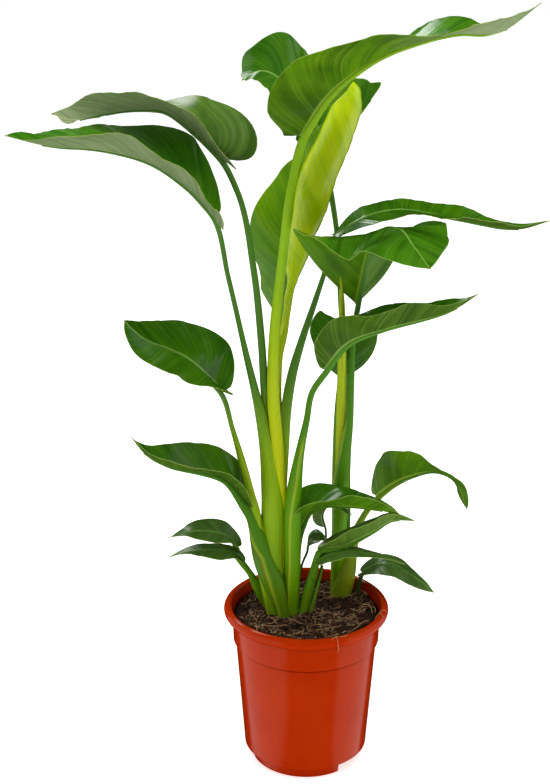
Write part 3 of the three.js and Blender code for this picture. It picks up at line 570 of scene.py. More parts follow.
# The relief: shift between the waves of the two halves; pleats, each with its spacing, height and
# shift, and the share of the width over which they rise; the groove over the midrib, and how much
# of it is gone at the tip; how much thinner the margin is; and how late the waves fade to the tip
HALF_SHIFT = 1.7
PLEATS = ((23, 1.0, 1.0), (13.3, 0.7, 2.3), (8.1, 0.5, 3.1))
PLEAT_START = 0.25
GROOVE_HALF = 2.4
GROOVE_FADE = 0.8
MARGIN_THINNING = 0.45
TIP_CALM = 6


def blade_outline(t, base_taper):
    """Share of the widest half width at t along the blade."""
    rising = (1 - (1 - np.minimum(t / BLADE_WIDEST, 1)) ** BASE_ROUNDNESS) ** base_taper
    rest = np.clip((t - BLADE_WIDEST) / (1 - BLADE_WIDEST), 0, 1)
    falling = (1 - rest ** 2) * (1 - TIP_HOLLOW * np.sin(np.pi * rest))
    return np.where(t < BLADE_WIDEST, rising, falling)


def blade_frames(leaf, t):
    """Midrib points and the blade's directions there: along, towards its left, upper side."""
    point, along, length = smooth_path(leaf["midrib"], t)
    facing = math.radians(leaf["facing"])
    left = np.array([-math.sin(facing), math.cos(facing), 0.0])
    left = unit(left - along * (along @ left)[:, None])
    return point, along, left, np.cross(along, left), length


def blade_grid(leaf, rows, columns):
    """Grid of points from the left margin to the right margin, with shares and half widths."""
    t = (np.arange(rows) / (rows - 1)) ** ROW_CROWDING
    point, along, left, up, length = blade_frames(leaf, t)
    shares = (1 - np.cos(np.pi * np.linspace(0, 1, columns + 1))) / 2
    middles = (shares[1:] + shares[:-1]) / 2
    least = BLADE_END_HALF + (BLADE_TIP_HALF - BLADE_END_HALF) * t
    lean = np.radians(keyed(leaf.get("lean", ROUND_BASE), t))[:, None]
    vein = lean * (VEIN_LEAN[0] + (VEIN_LEAN[1] - VEIN_LEAN[0]) * middles)
    halves = []
    for sign, side, widest in ((1, "left", leaf["half"][0]), (-1, "right", leaf["half"][1])):
        share = (keyed(leaf[side + "_outline"], t) if side + "_outline" in leaf
                 else blade_outline(t, leaf.get("base_taper", ROUNDED_LOBES)))
        width = np.maximum(least, widest * share)
        fold = np.radians(evenly_keyed(leaf[side + "_fold"], t))[:, None]
        curl = np.radians(evenly_keyed(leaf[side + "_curl"], t))[:, None]
        angle = fold + curl * middles
        steps = (left[:, None] * (sign * np.cos(vein) * np.cos(angle))[..., None]
                 + up[:, None] * (np.cos(vein) * np.sin(angle))[..., None]
                 + along[:, None] * np.sin(vein)[..., None])
        steps *= (width[:, None] * np.diff(shares))[..., None]
        out = point[:, None] + np.concatenate([np.zeros((rows, 1, 3)), np.cumsum(steps, 1)], 1)
        halves.append((out, width))
    grid = np.concatenate([halves[0][0][:, :0:-1], halves[1][0]], 1)
    across = np.concatenate([-shares[:0:-1], shares])
    widths = np.where(across[None] < 0, halves[0][1][:, None], halves[1][1][:, None])
    return grid, across, widths, t, length


def upper_normals(grid):
    across = np.gradient(grid, axis=1)
    along = np.gradient(grid, axis=0)
    return unit(np.cross(across, along))


def round_the_ring(values):
    """Values of the upper face carried on round the right margin, the underside and the left."""
    return np.concatenate([values, values[:, -1:], values[:, ::-1], values[:, :1],
                           values[:, :1]], 1)


def add_blade(skin, leaf, look, phase):
    """One blade: a thin plate with a rounded margin, pleated along its side veins."""
    rows, columns = BIG_GRID if max(leaf["half"]) > BIG_HALF else SMALL_GRID
    grid, across, widths, t, length = blade_grid(leaf, rows, columns)
    share = np.abs(across)[None]
    along = (t * length)[:, None]
    from_rib = share * widths
    wave = look.wave * share ** 2 * np.sin(2 * np.pi * along / look.wave_length + phase
                                           + HALF_SHIFT * np.sign(across)[None])
    slanted = along - VEIN_SLANT * from_rib
    pleat = look.pleat * soft_step(share / PLEAT_START) * sum(
        height * np.sin(2 * np.pi * slanted / spacing + shift * (phase + np.sign(across)))
        for spacing, height, shift in PLEATS)
    room = np.minimum(widths / BIG_HALF, 1) * (1 - t[:, None] ** TIP_CALM)
    groove = -look.groove * np.exp(-(from_rib / GROOVE_HALF) ** 2) * (
        1 - GROOVE_FADE * t[:, None])
    grid = grid + upper_normals(grid) * ((wave + pleat) * room + groove)[..., None]
    normals = upper_normals(grid)
    thickness = (look.thickness * (1 - MARGIN_THINNING * share))[..., None] * np.ones((rows, 1, 1))
    top = grid + normals * thickness / 2
    bottom = grid - normals * thickness / 2
    left_edge = grid[:, :1] + unit(grid[:, :1] - grid[:, 1:2]) * thickness[:, :1] / 2
    right_edge = grid[:, -1:] + unit(grid[:, -1:] - grid[:, -2:-1]) * thickness[:, -1:] / 2
    rings = np.concatenate([top, right_edge, bottom[:, ::-1], left_edge], 1)
    even = np.ones_like(from_rib)
    maps = {
        "place": (across * even, t[:, None] * even),
        "size": (from_rib * MM, along * MM * even),
        "edge": ((1 - share) * widths * MM, even),
    }
    faces_across = grid.shape[1] - 1
    slots = ([UPPER] * faces_across + [MARGIN] * 2 + [UNDERSIDE] * faces_across
             + [MARGIN] * 2)
    skin.add(rings, slots, {name: np.stack([round_the_ring(values) for values in pair], -1)
                            for name, pair in maps.items()})


# Stalks

# The stalk runs on under the blade as its midrib, sunk in by a share of its half width
MIDRIB_END = 0.86
MIDRIB_END_HALF = 0.9
MIDRIB_SINK = 0.85
MIDRIB_TAPER = 0.7
MIDRIB_POINTS = 12

STALK_STEP = 5
STALK_SIDES = 32

# The sheath's free edge: the height over which it closes at its top, and its lip's two slopes
SHEATH_CLOSING = 24
LIP_RISE = 1
LIP_FALL = 5


def stalk_points(leaf):
    """The stalk's points and half widths, and on under the blade as its midrib."""
    points = [tuple(p) for p in leaf["stalk"]]
    if "midrib" in leaf:
        t = np.linspace(0, MIDRIB_END, MIDRIB_POINTS)
        point, _, _, up, _ = blade_frames(leaf, t)
        start = leaf["stalk"][-1][3]
        half = start + (MIDRIB_END_HALF - start) * (t / MIDRIB_END) ** MIDRIB_TAPER
        centre = point - up * (MIDRIB_SINK * half)[:, None]
        points += [(*c, h, h) for c, h in zip(centre, half)]
    return points


def add_stalk(skin, leaf, look):
    """One stalk with a smooth oval section and the free edge of its sheath laid over it."""
    points = np.array(stalk_points(leaf))
    length = np.linalg.norm(np.diff(points[:, :3], axis=0), axis=1).sum()
    rows = int(length / STALK_STEP) + 2
    places = np.linspace(0, 1, rows)
    path, along, _ = smooth_path(points, places, even_knots=False)
    side = np.array([1.0, 0.0, 0.0])
    sides_of_rows = []
    for direction in along:
        side = unit(side - direction * (side @ direction))
        sides_of_rows.append(side)
    side = np.array(sides_of_rows)
    depth = np.cross(along, side)
    round_share = np.arange(STALK_SIDES + 1) / STALK_SIDES
    turn = round_share * 360 - 180
    z = path[:, 2]
    radius = (path[:, 3] + path[:, 4]) / 2
    even = np.ones((rows, STALK_SIDES + 1))
    beyond = even
    closed = np.zeros(rows)
    lift = 0 * even
    if "margin" in leaf:
        heights, turns = np.array(leaf["margin"], float).T
        edge_turn = np.interp(z, heights, turns)
        away = (turn[None] - edge_turn[:, None] + 180) % 360 - 180
        beyond = away * leaf["over"] * np.pi / 180 * radius[:, None]
        closed = soft_step((heights[-1] + SHEATH_CLOSING / 2 - z) / SHEATH_CLOSING)
        lift = look.sheath_lip * soft_step(beyond / LIP_RISE + 0.5) * np.exp(
            -np.maximum(beyond, 0) / LIP_FALL) * closed[:, None]
    angle = np.radians(turn)
    rings = (path[:, None, :3]
             + side[:, None] * ((path[:, 3:4] + lift) * np.cos(angle))[..., None]
             + depth[:, None] * ((path[:, 4:5] + lift) * np.sin(angle))[..., None])
    skin.add(rings[:, :STALK_SIDES], [STALK] * STALK_SIDES, {
        "place": np.stack([even * round_share, even * places[:, None]], -1),
        "size": np.stack([even * turn / 360 * (2 * np.pi * radius * MM)[:, None],
                          even * (z * MM)[:, None]], -1),
        "edge": np.stack([beyond * MM, even * closed[:, None]], -1),
    })


# Materials

# How far the margin's waves shift from piece to piece and from blade to blade, in radians
PIECE_PHASE = 1.3
BLADE_PHASE = 2.1

# Colours that the finishes share
DRY_TIP = "#8a6a2c"
PALE_BAND = "#b0be2a"

# Patterns of the leaves in millimetres; veins and bands have a length, a spacing, a shift between
# the blade's halves and a detail
FINE_VEINS = (111.1, 3, 5, 2)
BROAD_BANDS = (142.9, 16, 9, 1)
PATCH_SIZE = 45.45
RIB_WIDTH = 3.4
RIB_NARROWING = 2.8
RAGGED_LENGTH = 18.18
DRY_LENGTH = 71.43
STRIPE_LENGTH = 75.76
NOISE_ROUGHNESS = 0.55
ROUGH_NOISE = 0.7
LEAF_IOR = 1.45

# Noise round a circle of this radius gives a stalk about 70 stripes, a millimetre apart on a
# thick one. They carry its colours up and down by the rise, in metres.
STRIPE_CIRCLE = 11
STRIPE_RISE = 0.16

# Side veins lean more on the greyer undersides that have a painted sheen
SHEEN_SLANT = 1.6

# Stalk colours at the foot, on the sheath, on the petiole and near the blade, and the heights
# above the ground, in metres, at which the first three hold
STALK_TONES = {
    "plain": (("#6c9404", "#84a804", "#467420", "#5c843a"), (0.19, 0.36, 0.48)),
    "bright": (("#86a404", "#bcc402", "#84b010", "#84b01c"), (0.19, 0.34, 0.62)),
    "fresh": (("#628e04", "#5c9204", "#42780c", "#588c2c"), (0.19, 0.28, 0.42)),
    # deep: the sheaths' own deep green, darkened further with painted shade low in the clump
    "deep": (("#567a08", "#447408", "#3a6e12", "#4f7f2c"), (0.19, 0.26, 0.40)),
    "olive": (("#7e9010", "#6a8e10", "#4a7c18", "#4f7f2c"), (0.19, 0.30, 0.48)),
    "lime": (("#a4b00a", "#a8b80c", "#a2b80a", "#a2bc14"), (0.20, 0.30, 0.50)),
    "small": (("#6c9214", "#568610", "#447812", "#447812"), (0.18, 0.22, 0.30)),
    "tiny": (("#2c4c0c", "#28500c", "#2a560e", "#2a560e"), (0.18, 0.22, 0.30)),
}


def linear(hex_colour):
    """An sRGB hex colour as the linear numbers that shaders take."""
    parts = [int(hex_colour[i:i + 2], 16) / 255 for i in (1, 3, 5)]
    return tuple(p / 12.92 if p <= 0.04045 else ((p + 0.055) / 1.055) ** 2.4 for p in parts)


def colour(hex_colour, strength=1.0):
    """The same with an alpha of 1, and darker or lighter by a factor."""
    return (*(part * strength for part in linear(hex_colour)), 1.0)


def add(tree, kind, inputs=None, out=0, **settings):
    """A new shader node with its settings and links; gives the socket of one of its outputs.

    Inputs go by name or number, and are values or the sockets that they link from.
    """
    made = tree.nodes.new("ShaderNode" + kind)
    for name, value in settings.items():
        setattr(made, name, value)
    for name, value in (inputs or {}).items():
        if isinstance(value, bpy.types.NodeSocket):
            tree.links.new(value, made.inputs[name])
        else:
            made.inputs[name].default_value = value
    return made.outputs[out] if made.outputs else None


def begin(name):
    """A new material and its empty node tree."""
    material = bpy.data.materials.new(name)
    material.use_nodes = True
    material.node_tree.nodes.clear()
    return material, material.node_tree


def finished(material, inputs, height=None, relief=0.0):
    """Give a material its surface, with a relief in millimetres that follows a pattern."""
    tree = material.node_tree
    if height is not None:
        inputs["Normal"] = add(tree, "Bump", {
            "Height": height, "Distance": relief * MM, "Strength": 1.0})
    add(tree, "OutputMaterial", {"Surface": add(tree, "BsdfPrincipled", inputs)})
    return material


def once(name, make, *values):
    """The material of that name, made when it is first asked for."""
    return bpy.data.materials.get(name) or make(name, *values)


def surface_pair(tree, map_name):
    """Both numbers of one of the surface maps."""
    return add(tree, "SeparateXYZ", {0: add(tree, "UVMap", uv_map=map_name)}).node.outputs[:2]


def mask(tree, *parts):
    """The product of parts: plain shares, and (value, off, on) for a smooth step between bounds.

    Noise values lie about 0.5, so bounds on both sides of that cover half of a surface.
    """
    product = None
    for part in parts:
        if isinstance(part, tuple):
            value, off, on = part
            part = add(tree, "MapRange", {"Value": value, "From Min": off, "From Max": on},
                       interpolation_type="SMOOTHSTEP")
        product = part if product is None else add(
            tree, "Math", {0: product, 1: part}, operation="MULTIPLY")
    return product


def layered(tree, base, layers):
    """A colour under others, each with the share in which it covers what lies below."""
    for share, over in layers:
        base = add(tree, "Mix", {0: share, 6: base, 7: over}, out=2, data_type="RGBA")
    return base


def blade_face(name, dark, light, vein, rib, margin, roughness, vein_share, relief,
               mirror=0.4, slant=VEIN_SLANT, far=None):
    """Leaf tissue: a waxy skin with soft gloss, broken by side veins, the midrib, and furrows
    darkened with painted shade.

    Fine parallel veins run from the midrib to the margin. The real ones are about 1.5 mm apart; they
    are drawn twice as far apart so that they show. far is a paler grey-green towards the tip, a
    painted sheen.
    """
    material, tree = begin(name)
    across, along_share = surface_pair(tree, "place")
    from_rib, straight = surface_pair(tree, "size")
    to_edge = surface_pair(tree, "edge")[0]
    along = add(tree, "Math", {0: from_rib, 1: -slant, 2: straight}, operation="MULTIPLY_ADD")
    side = add(tree, "Math", {0: across}, operation="SIGN")
    place = add(tree, "CombineXYZ", {0: from_rib, 1: along, 2: side})
    fine, broad = [
        add(tree, "TexNoise", {
            "Vector": add(tree, "VectorMath", {
                0: place, 1: (1 / (length * MM), 1 / (spacing * MM), shift)},
                operation="MULTIPLY"),
            "Scale": 1, "Detail": detail, "Roughness": NOISE_ROUGHNESS})
        for length, spacing, shift, detail in (FINE_VEINS, BROAD_BANDS)]
    patches = add(tree, "TexNoise", {
        "Vector": add(tree, "TexCoord", out="Object"), "Scale": 1 / (PATCH_SIZE * MM),
        "Detail": 2, "Roughness": NOISE_ROUGHNESS})
    tone = add(tree, "Math", {0: broad, 1: patches}, operation="ADD")
    rib_width = add(tree, "Math", {0: along_share, 1: -RIB_NARROWING * MM, 2: RIB_WIDTH * MM},
                    operation="MULTIPLY_ADD")
    from_rib_share = add(tree, "Math", {0: from_rib, 1: rib_width}, operation="DIVIDE")
    ragged = add(tree, "TexNoise", {
        "Vector": add(tree, "CombineXYZ", {0: straight, 1: side}),
        "Scale": 1 / (RAGGED_LENGTH * MM), "Detail": 2, "Roughness": NOISE_ROUGHNESS})
    layers = [
        (mask(tree, (tone, 0.7, 1.3)), colour(light)),
        # Painted shade: the furrows between the side veins, darker than the darkest green
        (mask(tree, 0.8 * vein_share, (fine, 0.48, 0.32)), colour(dark, 0.4)),
        (mask(tree, vein_share, (fine, 0.52, 0.68)), colour(vein)),
        (mask(tree, 0.75, (from_rib_share, 1.25, 0.5)), colour(rib)),
        (mask(tree, 0.5, (to_edge, 1.1 * MM, 0.4 * MM), (ragged, 0.4, 0.65)), colour(margin)),
        (mask(tree, (along_share, 0.985, 1.0)), colour(DRY_TIP)),
    ]
    # Painted sheen: a paler grey-green over the outer part of the blade, towards the tip
    if far:
        layers.insert(1, (mask(tree, 0.6, (along_share, 0.4, 0.75)), colour(far)))
    raised = add(tree, "Math", {0: broad, 1: 0.65}, operation="MULTIPLY")
    return finished(material, {
        "Base Color": layered(tree, colour(dark), layers),
        "Roughness": add(tree, "Math", {0: fine, 1: 0.14, 2: roughness - 0.07},
                         operation="MULTIPLY_ADD"),
        "IOR": LEAF_IOR, "Specular IOR Level": mirror,
    }, add(tree, "Math", {0: fine, 1: 0.35, 2: raised}, operation="MULTIPLY_ADD"), relief)


def stalk_face(name, foot, sheath, petiole, top, dry_edge, roughness, heights):
    """Stalk tissue: smooth and faintly striped lengthwise, so that its gloss runs in long streaks.

    heights are those above the ground, in metres, at which foot, sheath and petiole colours hold.
    The sheath's free edge is a thin dry brown line with a pale band beside it.
    """
    material, tree = begin(name)
    turn, share = surface_pair(tree, "place")
    height = surface_pair(tree, "size")[1]
    beyond, closed = surface_pair(tree, "edge")
    angle = add(tree, "Math", {0: turn, 1: 2 * math.pi}, operation="MULTIPLY")
    cosine, sine = [add(tree, "Math", {0: angle}, operation=kind) for kind in ("COSINE", "SINE")]
    around = add(tree, "CombineXYZ", {0: cosine, 1: sine, 2: height})
    stripes = add(tree, "TexNoise", {
        "Vector": add(tree, "VectorMath", {
            0: around, 1: (STRIPE_CIRCLE, STRIPE_CIRCLE, 1 / (STRIPE_LENGTH * MM))},
            operation="MULTIPLY"),
        "Scale": 1, "Detail": 3, "Roughness": NOISE_ROUGHNESS})
    uneven = add(tree, "Math", {0: stripes, 1: STRIPE_RISE, 2: height}, operation="MULTIPLY_ADD")
    low, middle, high = [h + STRIPE_RISE / 2 for h in heights]
    dry = add(tree, "TexNoise", {
        "Vector": add(tree, "CombineXYZ", {2: height}), "Scale": 1 / (DRY_LENGTH * MM),
        "Detail": 2, "Roughness": NOISE_ROUGHNESS})
    layers = [
        (mask(tree, (uneven, low, middle)), colour(sheath)),
        (mask(tree, (uneven, middle, high)), colour(petiole)),
        (mask(tree, (share, 0.6, 0.85)), colour(top)),
        (mask(tree, 0.35, (stripes, 0.5, 0.75)), colour(top)),
        (mask(tree, 0.4, closed, (beyond, 5.5 * MM, 1 * MM), (beyond, -0.4 * MM, 0.2 * MM)),
         colour(PALE_BAND)),
        (mask(tree, closed, (beyond, 0.7 * MM, 0.2 * MM), (beyond, -0.8 * MM, -0.2 * MM),
              (dry, 0.42, 0.62)), colour(dry_edge)),
    ]
    return finished(material, {
        "Base Color": layered(tree, colour(foot), layers),
        "Roughness": add(tree, "Math", {0: stripes, 1: 0.16, 2: roughness - 0.08},
                         operation="MULTIPLY_ADD"),
        "IOR": LEAF_IOR, "Specular IOR Level": 0.25,
    }, stripes, 0.6)


def blade_finishes(look):
    """Upper face and underside of each finish, as the values that blade_face takes.

    These are its name, its dark, light, vein, midrib and margin colours, roughness, the veins'
    share and its relief, and then what differs from the usual mirror, slant and far colour.

    Waxy faces mirror softly and matt ones hardly. The greyer, paler faces have a painted sheen in
    their colours, and the pale finish's upper face is a lighter green, painted light. Young tissue
    is yellow-green and the glossiest.
    """
    waxy = look.upper_vein, look.rib, look.margin, 0.20, 0.3, 0.9
    bright_upper = "blade_upper_waxy_bright", look.upper_dark, "#42780c", *waxy
    return {
        "mature": (
            ("blade_upper_waxy", look.upper_dark, look.upper_light, *waxy, 0.5),
            ("blade_underside_matt", look.under_dark, look.under_light, look.under_vein,
             look.rib, look.margin, 0.36, 0.35, 1.4, 0.2)),
        "pale": (
            # Painted light: a lighter upper face that lifts the shade inside the blade's fold
            ("blade_upper_waxy_painted_light", "#286008", "#407a0c", *waxy),
            # A lighter grey-green underside, a painted sheen
            ("blade_underside_painted_sheen", "#647a4a", "#748658", "#98a680", "#90a864", look.margin,
             0.42, 0.6, 1.4, 0.3, SHEEN_SLANT)),
        # dull: greyer greens on both faces, a painted sheen
        "dull": (
            ("blade_upper_painted_sheen", "#2e4e0e", "#4a6a20", "#66843c", look.rib, look.margin,
             0.28, 0.3, 0.9),
            ("blade_underside_painted_sheen_pale", "#809260", "#96a676", "#b0ba98", "#9cb078",
             look.margin, 0.42, 0.6, 1.4, 0.3, SHEEN_SLANT)),
        "bright": (
            bright_upper,
            ("blade_underside_bright", "#3a6608", "#54840a", "#7ba028", "#96b830", look.margin,
             0.32, 0.3, 1.4, 0.22)),
        # clouded: its underside has a painted sheen towards the tip
        "clouded": (
            bright_upper,
            ("blade_underside_bright_painted_sheen", "#365e06", "#588408", "#7ba028", "#96b830",
             look.margin, 0.32, 0.28, 1.4, 0.22, VEIN_SLANT, "#a0a888")),
        "small": (
            ("small_blade_upper_waxy", "#345414", "#4c6c2a", "#5e8040", "#5c8a3c", "#7d9a50",
             0.3, 0.3, 0.7),
            ("small_blade_underside", "#466818", "#5a7c28", "#74923c", "#8fae5c", "#8fa850",
             0.42, 0.4, 0.9, 0.3)),
        "young": (
            ("young_blade_upper_waxy", "#447404", "#608c06", "#8cb02c", "#b4c83c", "#a8b850",
             0.22, 0.2, 0.8, 0.3),
            ("young_blade_underside_waxy", "#9ab804", "#b6c808", "#bccf30", "#c8d640",
             "#c4d060", 0.16, 0.2, 0.8, 0.75)),
    }


def leaf_materials(look, finish_name, stalk_name):
    """Upper face, underside, margin and stalk of a leaf; the margin is as dry as a sheath's."""
    upper, under = [once(name, blade_face, *values)
                    for name, *values in blade_finishes(look)[finish_name]]
    margin = once("sheath_edge_tissue", stalk_face, *[look.margin] * 5, 0.45, (0.1, 0.2, 0.3))
    tones, heights = STALK_TONES[stalk_name]
    stalk = once("stalk_waxy_" + stalk_name, stalk_face, *tones, look.sheath_edge, 0.24, heights)
    return upper, under, margin, stalk


def make_leaves(entries):
    """One piece for each entry; every blade has its own place in the waves of its margin."""
    look = bpy.context.scene.plant_leaves
    for number, (node, slot, leaves, finish_name, stalk_name) in enumerate(entries):
        skin = Skin()
        for order, leaf in enumerate(leaves):
            add_stalk(skin, leaf, look)
            if "midrib" in leaf:
                add_blade(skin, leaf, look, PIECE_PHASE * number + BLADE_PHASE * order)
        skinned = skin.piece("blade_and_stalk_" + node[len("leaf_"):],
                             leaf_materials(look, finish_name, stalk_name))
        belongs(skinned, slot, node)


# Pot

# Points of a rounded corner as shares of its arc, and the largest share of a side that it takes
CORNER_POINTS = (0, 0.33, 0.67, 1)
LARGEST_CUT = 0.4

# Patterns of the pot in millimetres. A rub mark is about eight times as high as it is wide.
POT_CLOUDS = 55.56
RUB_MARKS = 3.846
RUB_MARK_SQUEEZE = 0.12
POT_GRAIN = 0.9
DIRT_SPECKS = 2.6


def softened(outline, radius):
    """An outline with its corners rounded off, the two ends on the axis left as they are."""
    points = [Vector(p) for p in outline]
    rounded = [points[0]]
    for before, corner, after in zip(points, points[1:], points[2:]):
        back, on = before - corner, after - corner
        cut = min(radius, LARGEST_CUT * back.length, LARGEST_CUT * on.length)
        start, end = corner + back.normalized() * cut, corner + on.normalized() * cut
        for share in CORNER_POINTS:
            a, b = start.lerp(corner, share), corner.lerp(end, share)
            rounded.append(a.lerp(b, share))
    rounded.append(points[-1])
    return rounded


def wall_inside():
    """The pot's inside from its floor up to the bead, as radius and height."""
    wall, floor, fillet = POT["wall"], POT["floor"], POT["floor_fillet"]
    body_top, body_bottom, _ = POT["body"]
    collar_top, collar_bottom, collar_z, ledge = POT["collar"]
    return [
        (body_bottom - wall - fillet, floor),
        (body_bottom - wall, floor + fillet),
        (body_top - wall, collar_z - 2 * ledge),
        (collar_bottom - wall, collar_z + ledge),
        (collar_top - wall, POT["inside_top"]),
    ]


def pot_outline():
    """The pot's section: out under the floor, up the wall, over the bead and down the inside."""
    floor, thickness = POT["floor"], POT["floor_thickness"]
    bead_radius, bead_z, section = POT["bead"]
    lip_inset, lip_rise = POT["lip"]
    neck_z, shoulder, step = POT["neck"]
    collar_top, collar_bottom, collar_z, ledge = POT["collar"]
    body_top, body_bottom, body_z = POT["body"]
    foot_top, foot_bottom, foot_height, foot_wall = POT["foot"]
    out, up = POT["chamfer"]
    wall_rounding, rim_rounding = POT["rounding"]
    lower = [
        (0, floor - thickness), (foot_bottom - foot_wall, floor - thickness),
        (foot_bottom - foot_wall, 0), (foot_bottom, 0), (foot_top, foot_height),
        (foot_top + out, foot_height + up), (body_bottom, body_z),
        (body_top, collar_z - 3 * ledge), (body_top - POT["body_inset"], collar_z - ledge),
        (collar_bottom, collar_z), (collar_top, neck_z),
        (collar_top + step, shoulder),
    ]
    arc = [(bead_radius + section * math.cos(math.radians(a)),
            bead_z + section * math.sin(math.radians(a)))
           for a in np.linspace(*POT["bead_arc"])]
    upper = [(bead_radius - lip_inset, bead_z + lip_rise), *wall_inside()[::-1], (0, floor)]
    return [*softened(lower, wall_rounding), *[Vector(p) for p in arc],
            *softened([arc[-1], *upper], rim_rounding)[1:]]


def notched(z, turn):
    """Height of a foot point at a turn, raised where the foot ring has an opening."""
    for centre in POT["notches"]:
        if abs((turn - centre + 180) % 360 - 180) < POT["notch_degrees"] / 2:
            return max(z, POT["notch_height"])
    return z


def drill_floor(pot):
    """Drain holes through the floor, cut with a boolean that is applied at once."""
    count, circle, radius = POT["drain"]
    sides, below, above = POT["drill"]
    points, faces = [], []
    for hole in range(count):
        turn = 2 * math.pi * hole / count
        start = len(points)
        for z in (POT["floor"] - below, POT["floor"] + above):
            for j in range(sides):
                a = 2 * math.pi * j / sides
                points.append((circle * math.cos(turn) + radius * math.cos(a),
                               circle * math.sin(turn) + radius * math.sin(a), z))
        for j in range(sides):
            k = (j + 1) % sides
            faces.append((start + j, start + k, start + sides + k, start + sides + j))
        faces.append(tuple(start + j for j in range(sides))[::-1])
        faces.append(tuple(start + sides + j for j in range(sides)))
    drill = mesh_piece("drill", points, faces, smooth=False)
    cut = pot.modifiers.new("drain holes", "BOOLEAN")
    cut.operation, cut.solver, cut.object = "DIFFERENCE", "EXACT", drill
    depsgraph = bpy.context.evaluated_depsgraph_get()
    drilled = bpy.data.meshes.new_from_object(pot.evaluated_get(depsgraph))
    pot.modifiers.clear()
    pot.data = drilled
    bpy.data.objects.remove(drill)


def make_pot_shell():
    """The outline turned about the axis, with openings in the foot ring and drilled holes."""
    half, beside = POT["notch_degrees"] / 2, POT["notch_edge_degrees"]
    edges = [centre + side * half + off
             for centre in POT["notches"] for side in (1, -1) for off in (-beside, beside)]
    turns = sorted(set(np.linspace(-180, 180, POT["sectors"], endpoint=False).tolist()
                       + [(e + 180) % 360 - 180 for e in edges]))
    points, rings = [], []
    for radius, z in pot_outline():
        ring = []
        for turn in (turns if radius > 0 else turns[:1]):
            a = math.radians(turn)
            ring.append(len(points))
            points.append((radius * math.cos(a), radius * math.sin(a), notched(z, turn)))
        rings.append(ring)
    faces = []
    count = len(turns)
    for low, high in zip(rings, rings[1:]):
        for j in range(count):
            k = (j + 1) % count
            if len(low) == 1:
                faces.append((low[0], high[k], high[j]))
            elif len(high) == 1:
                faces.append((low[j], low[k], high[0]))
            else:
                faces.append((low[j], low[k], high[k], high[j]))
    pot = mesh_piece("moulded_pot", points, faces)
    drill_floor(pot)
    pot.data.materials.append(moulded_polypropylene())
    pot.data.polygons.foreach_set("use_smooth", [True] * len(pot.data.polygons))
    pot.data.set_sharp_from_angle(angle=math.radians(POT["sharp_degrees"]))
    belongs(pot, "pot_plastic", "pot")


def moulded_polypropylene():
    """Injection-moulded polypropylene: an even colour and a satin skin, which draws every light out
    into a long soft streak, with faint upright rub marks, specks of dirt near the rim, and painted
    shade under the bead, under the collar's ledge and on the inner wall.

    Places are in millimetres. The moulded grain is drawn coarser than it is, so that it shows.
    """
    look = bpy.context.scene.plant_pot
    material, tree = begin("polypropylene_moulded")
    place = add(tree, "VectorMath", {
        0: add(tree, "TexCoord", out="Object"), "Scale": 1 / MM}, operation="SCALE")
    flat = add(tree, "VectorMath", {0: place, 1: (1, 1, 0)}, operation="MULTIPLY")
    radius = add(tree, "VectorMath", {0: flat}, out="Value", operation="LENGTH")
    z = add(tree, "SeparateXYZ", {0: place}, out=2)
    upright = add(tree, "VectorMath", {0: place, 1: (1, 1, RUB_MARK_SQUEEZE)},
                  operation="MULTIPLY")
    clouds, marks, grain, specks = [
        add(tree, "TexNoise", {
            "Vector": vector, "Scale": 1 / size, "Detail": detail, "Roughness": roughness})
        for vector, size, detail, roughness in (
            (place, POT_CLOUDS, 2, NOISE_ROUGHNESS), (upright, RUB_MARKS, 3, ROUGH_NOISE),
            (place, POT_GRAIN, 2, NOISE_ROUGHNESS), (place, DIRT_SPECKS, 2, NOISE_ROUGHNESS))]
    # One dark colour for the specks of dirt and for the painted shade
    dirt_and_painted_shade = colour("#4a1608")
    neck, ledge = POT["neck"][0], POT["collar"][2]
    inside = POT["collar"][0] - POT["wall"]
    layers = [
        (mask(tree, (clouds, 0.3, 0.7)), colour(look.light)),
        (mask(tree, 0.08, (marks, 0.62, 0.8)), colour("#c8603a")),
        # Painted shade: a dark band on the collar under the bead
        (mask(tree, 0.5, (z, neck - 2.5, neck + 2.5), (z, neck + 5.5, neck + 3.8)), dirt_and_painted_shade),
        # Painted shade: a dark line under the collar's ledge
        (mask(tree, 0.5, (z, ledge - 3.5, ledge - 1.5), (z, ledge + 0.5, ledge - 0.7)), dirt_and_painted_shade),
        # Painted shade: the inner wall above the soil darkened
        (mask(tree, 0.75, (radius, inside + 0.6, inside + 0.2), (z, 158, 162)), dirt_and_painted_shade),
        # Specks of dirt near the rim
        (mask(tree, 0.5, (specks, 0.70, 0.74), (z, 165, 192)), dirt_and_painted_shade),
    ]
    return finished(material, {
        "Base Color": layered(tree, colour(look.dark), layers),
        "Roughness": add(tree, "Math", {0: marks, 1: 0.1, 2: look.roughness - 0.05},
                         operation="MULTIPLY_ADD"),
        "IOR": 1.49, "Specular IOR Level": 0.27, "Specular Tint": colour("#fff4c4"),
    }, grain, 0.06)


# Soil


def soil_height(x, y):
    """Height of the soil's even top at a place, as on the drawing."""
    high, minor = SOIL["bumps"]
    bumps = (math.sin(x / SOIL["wide"][0] + 0.6) * math.cos(y / SOIL["wide"][1])
             + minor * math.sin(x / SOIL["narrow"][0] - y / SOIL["narrow"][1]))
    return (SOIL["level"] + SOIL["dish"] * (math.hypot(x, y) / SOIL["edge"]) ** 2
            + SOIL["rise"][0] * x + SOIL["rise"][1] * y + high * bumps)


def rough_height(x, y):
    """The same with clods and grit."""
    z = soil_height(x, y)
    for width, height, octaves, layer in (SOIL["clods"], SOIL["grit"]):
        z += height * noise.fractal(Vector((x / width, y / width, layer)), 1.0, 2.0, octaves)
    return z


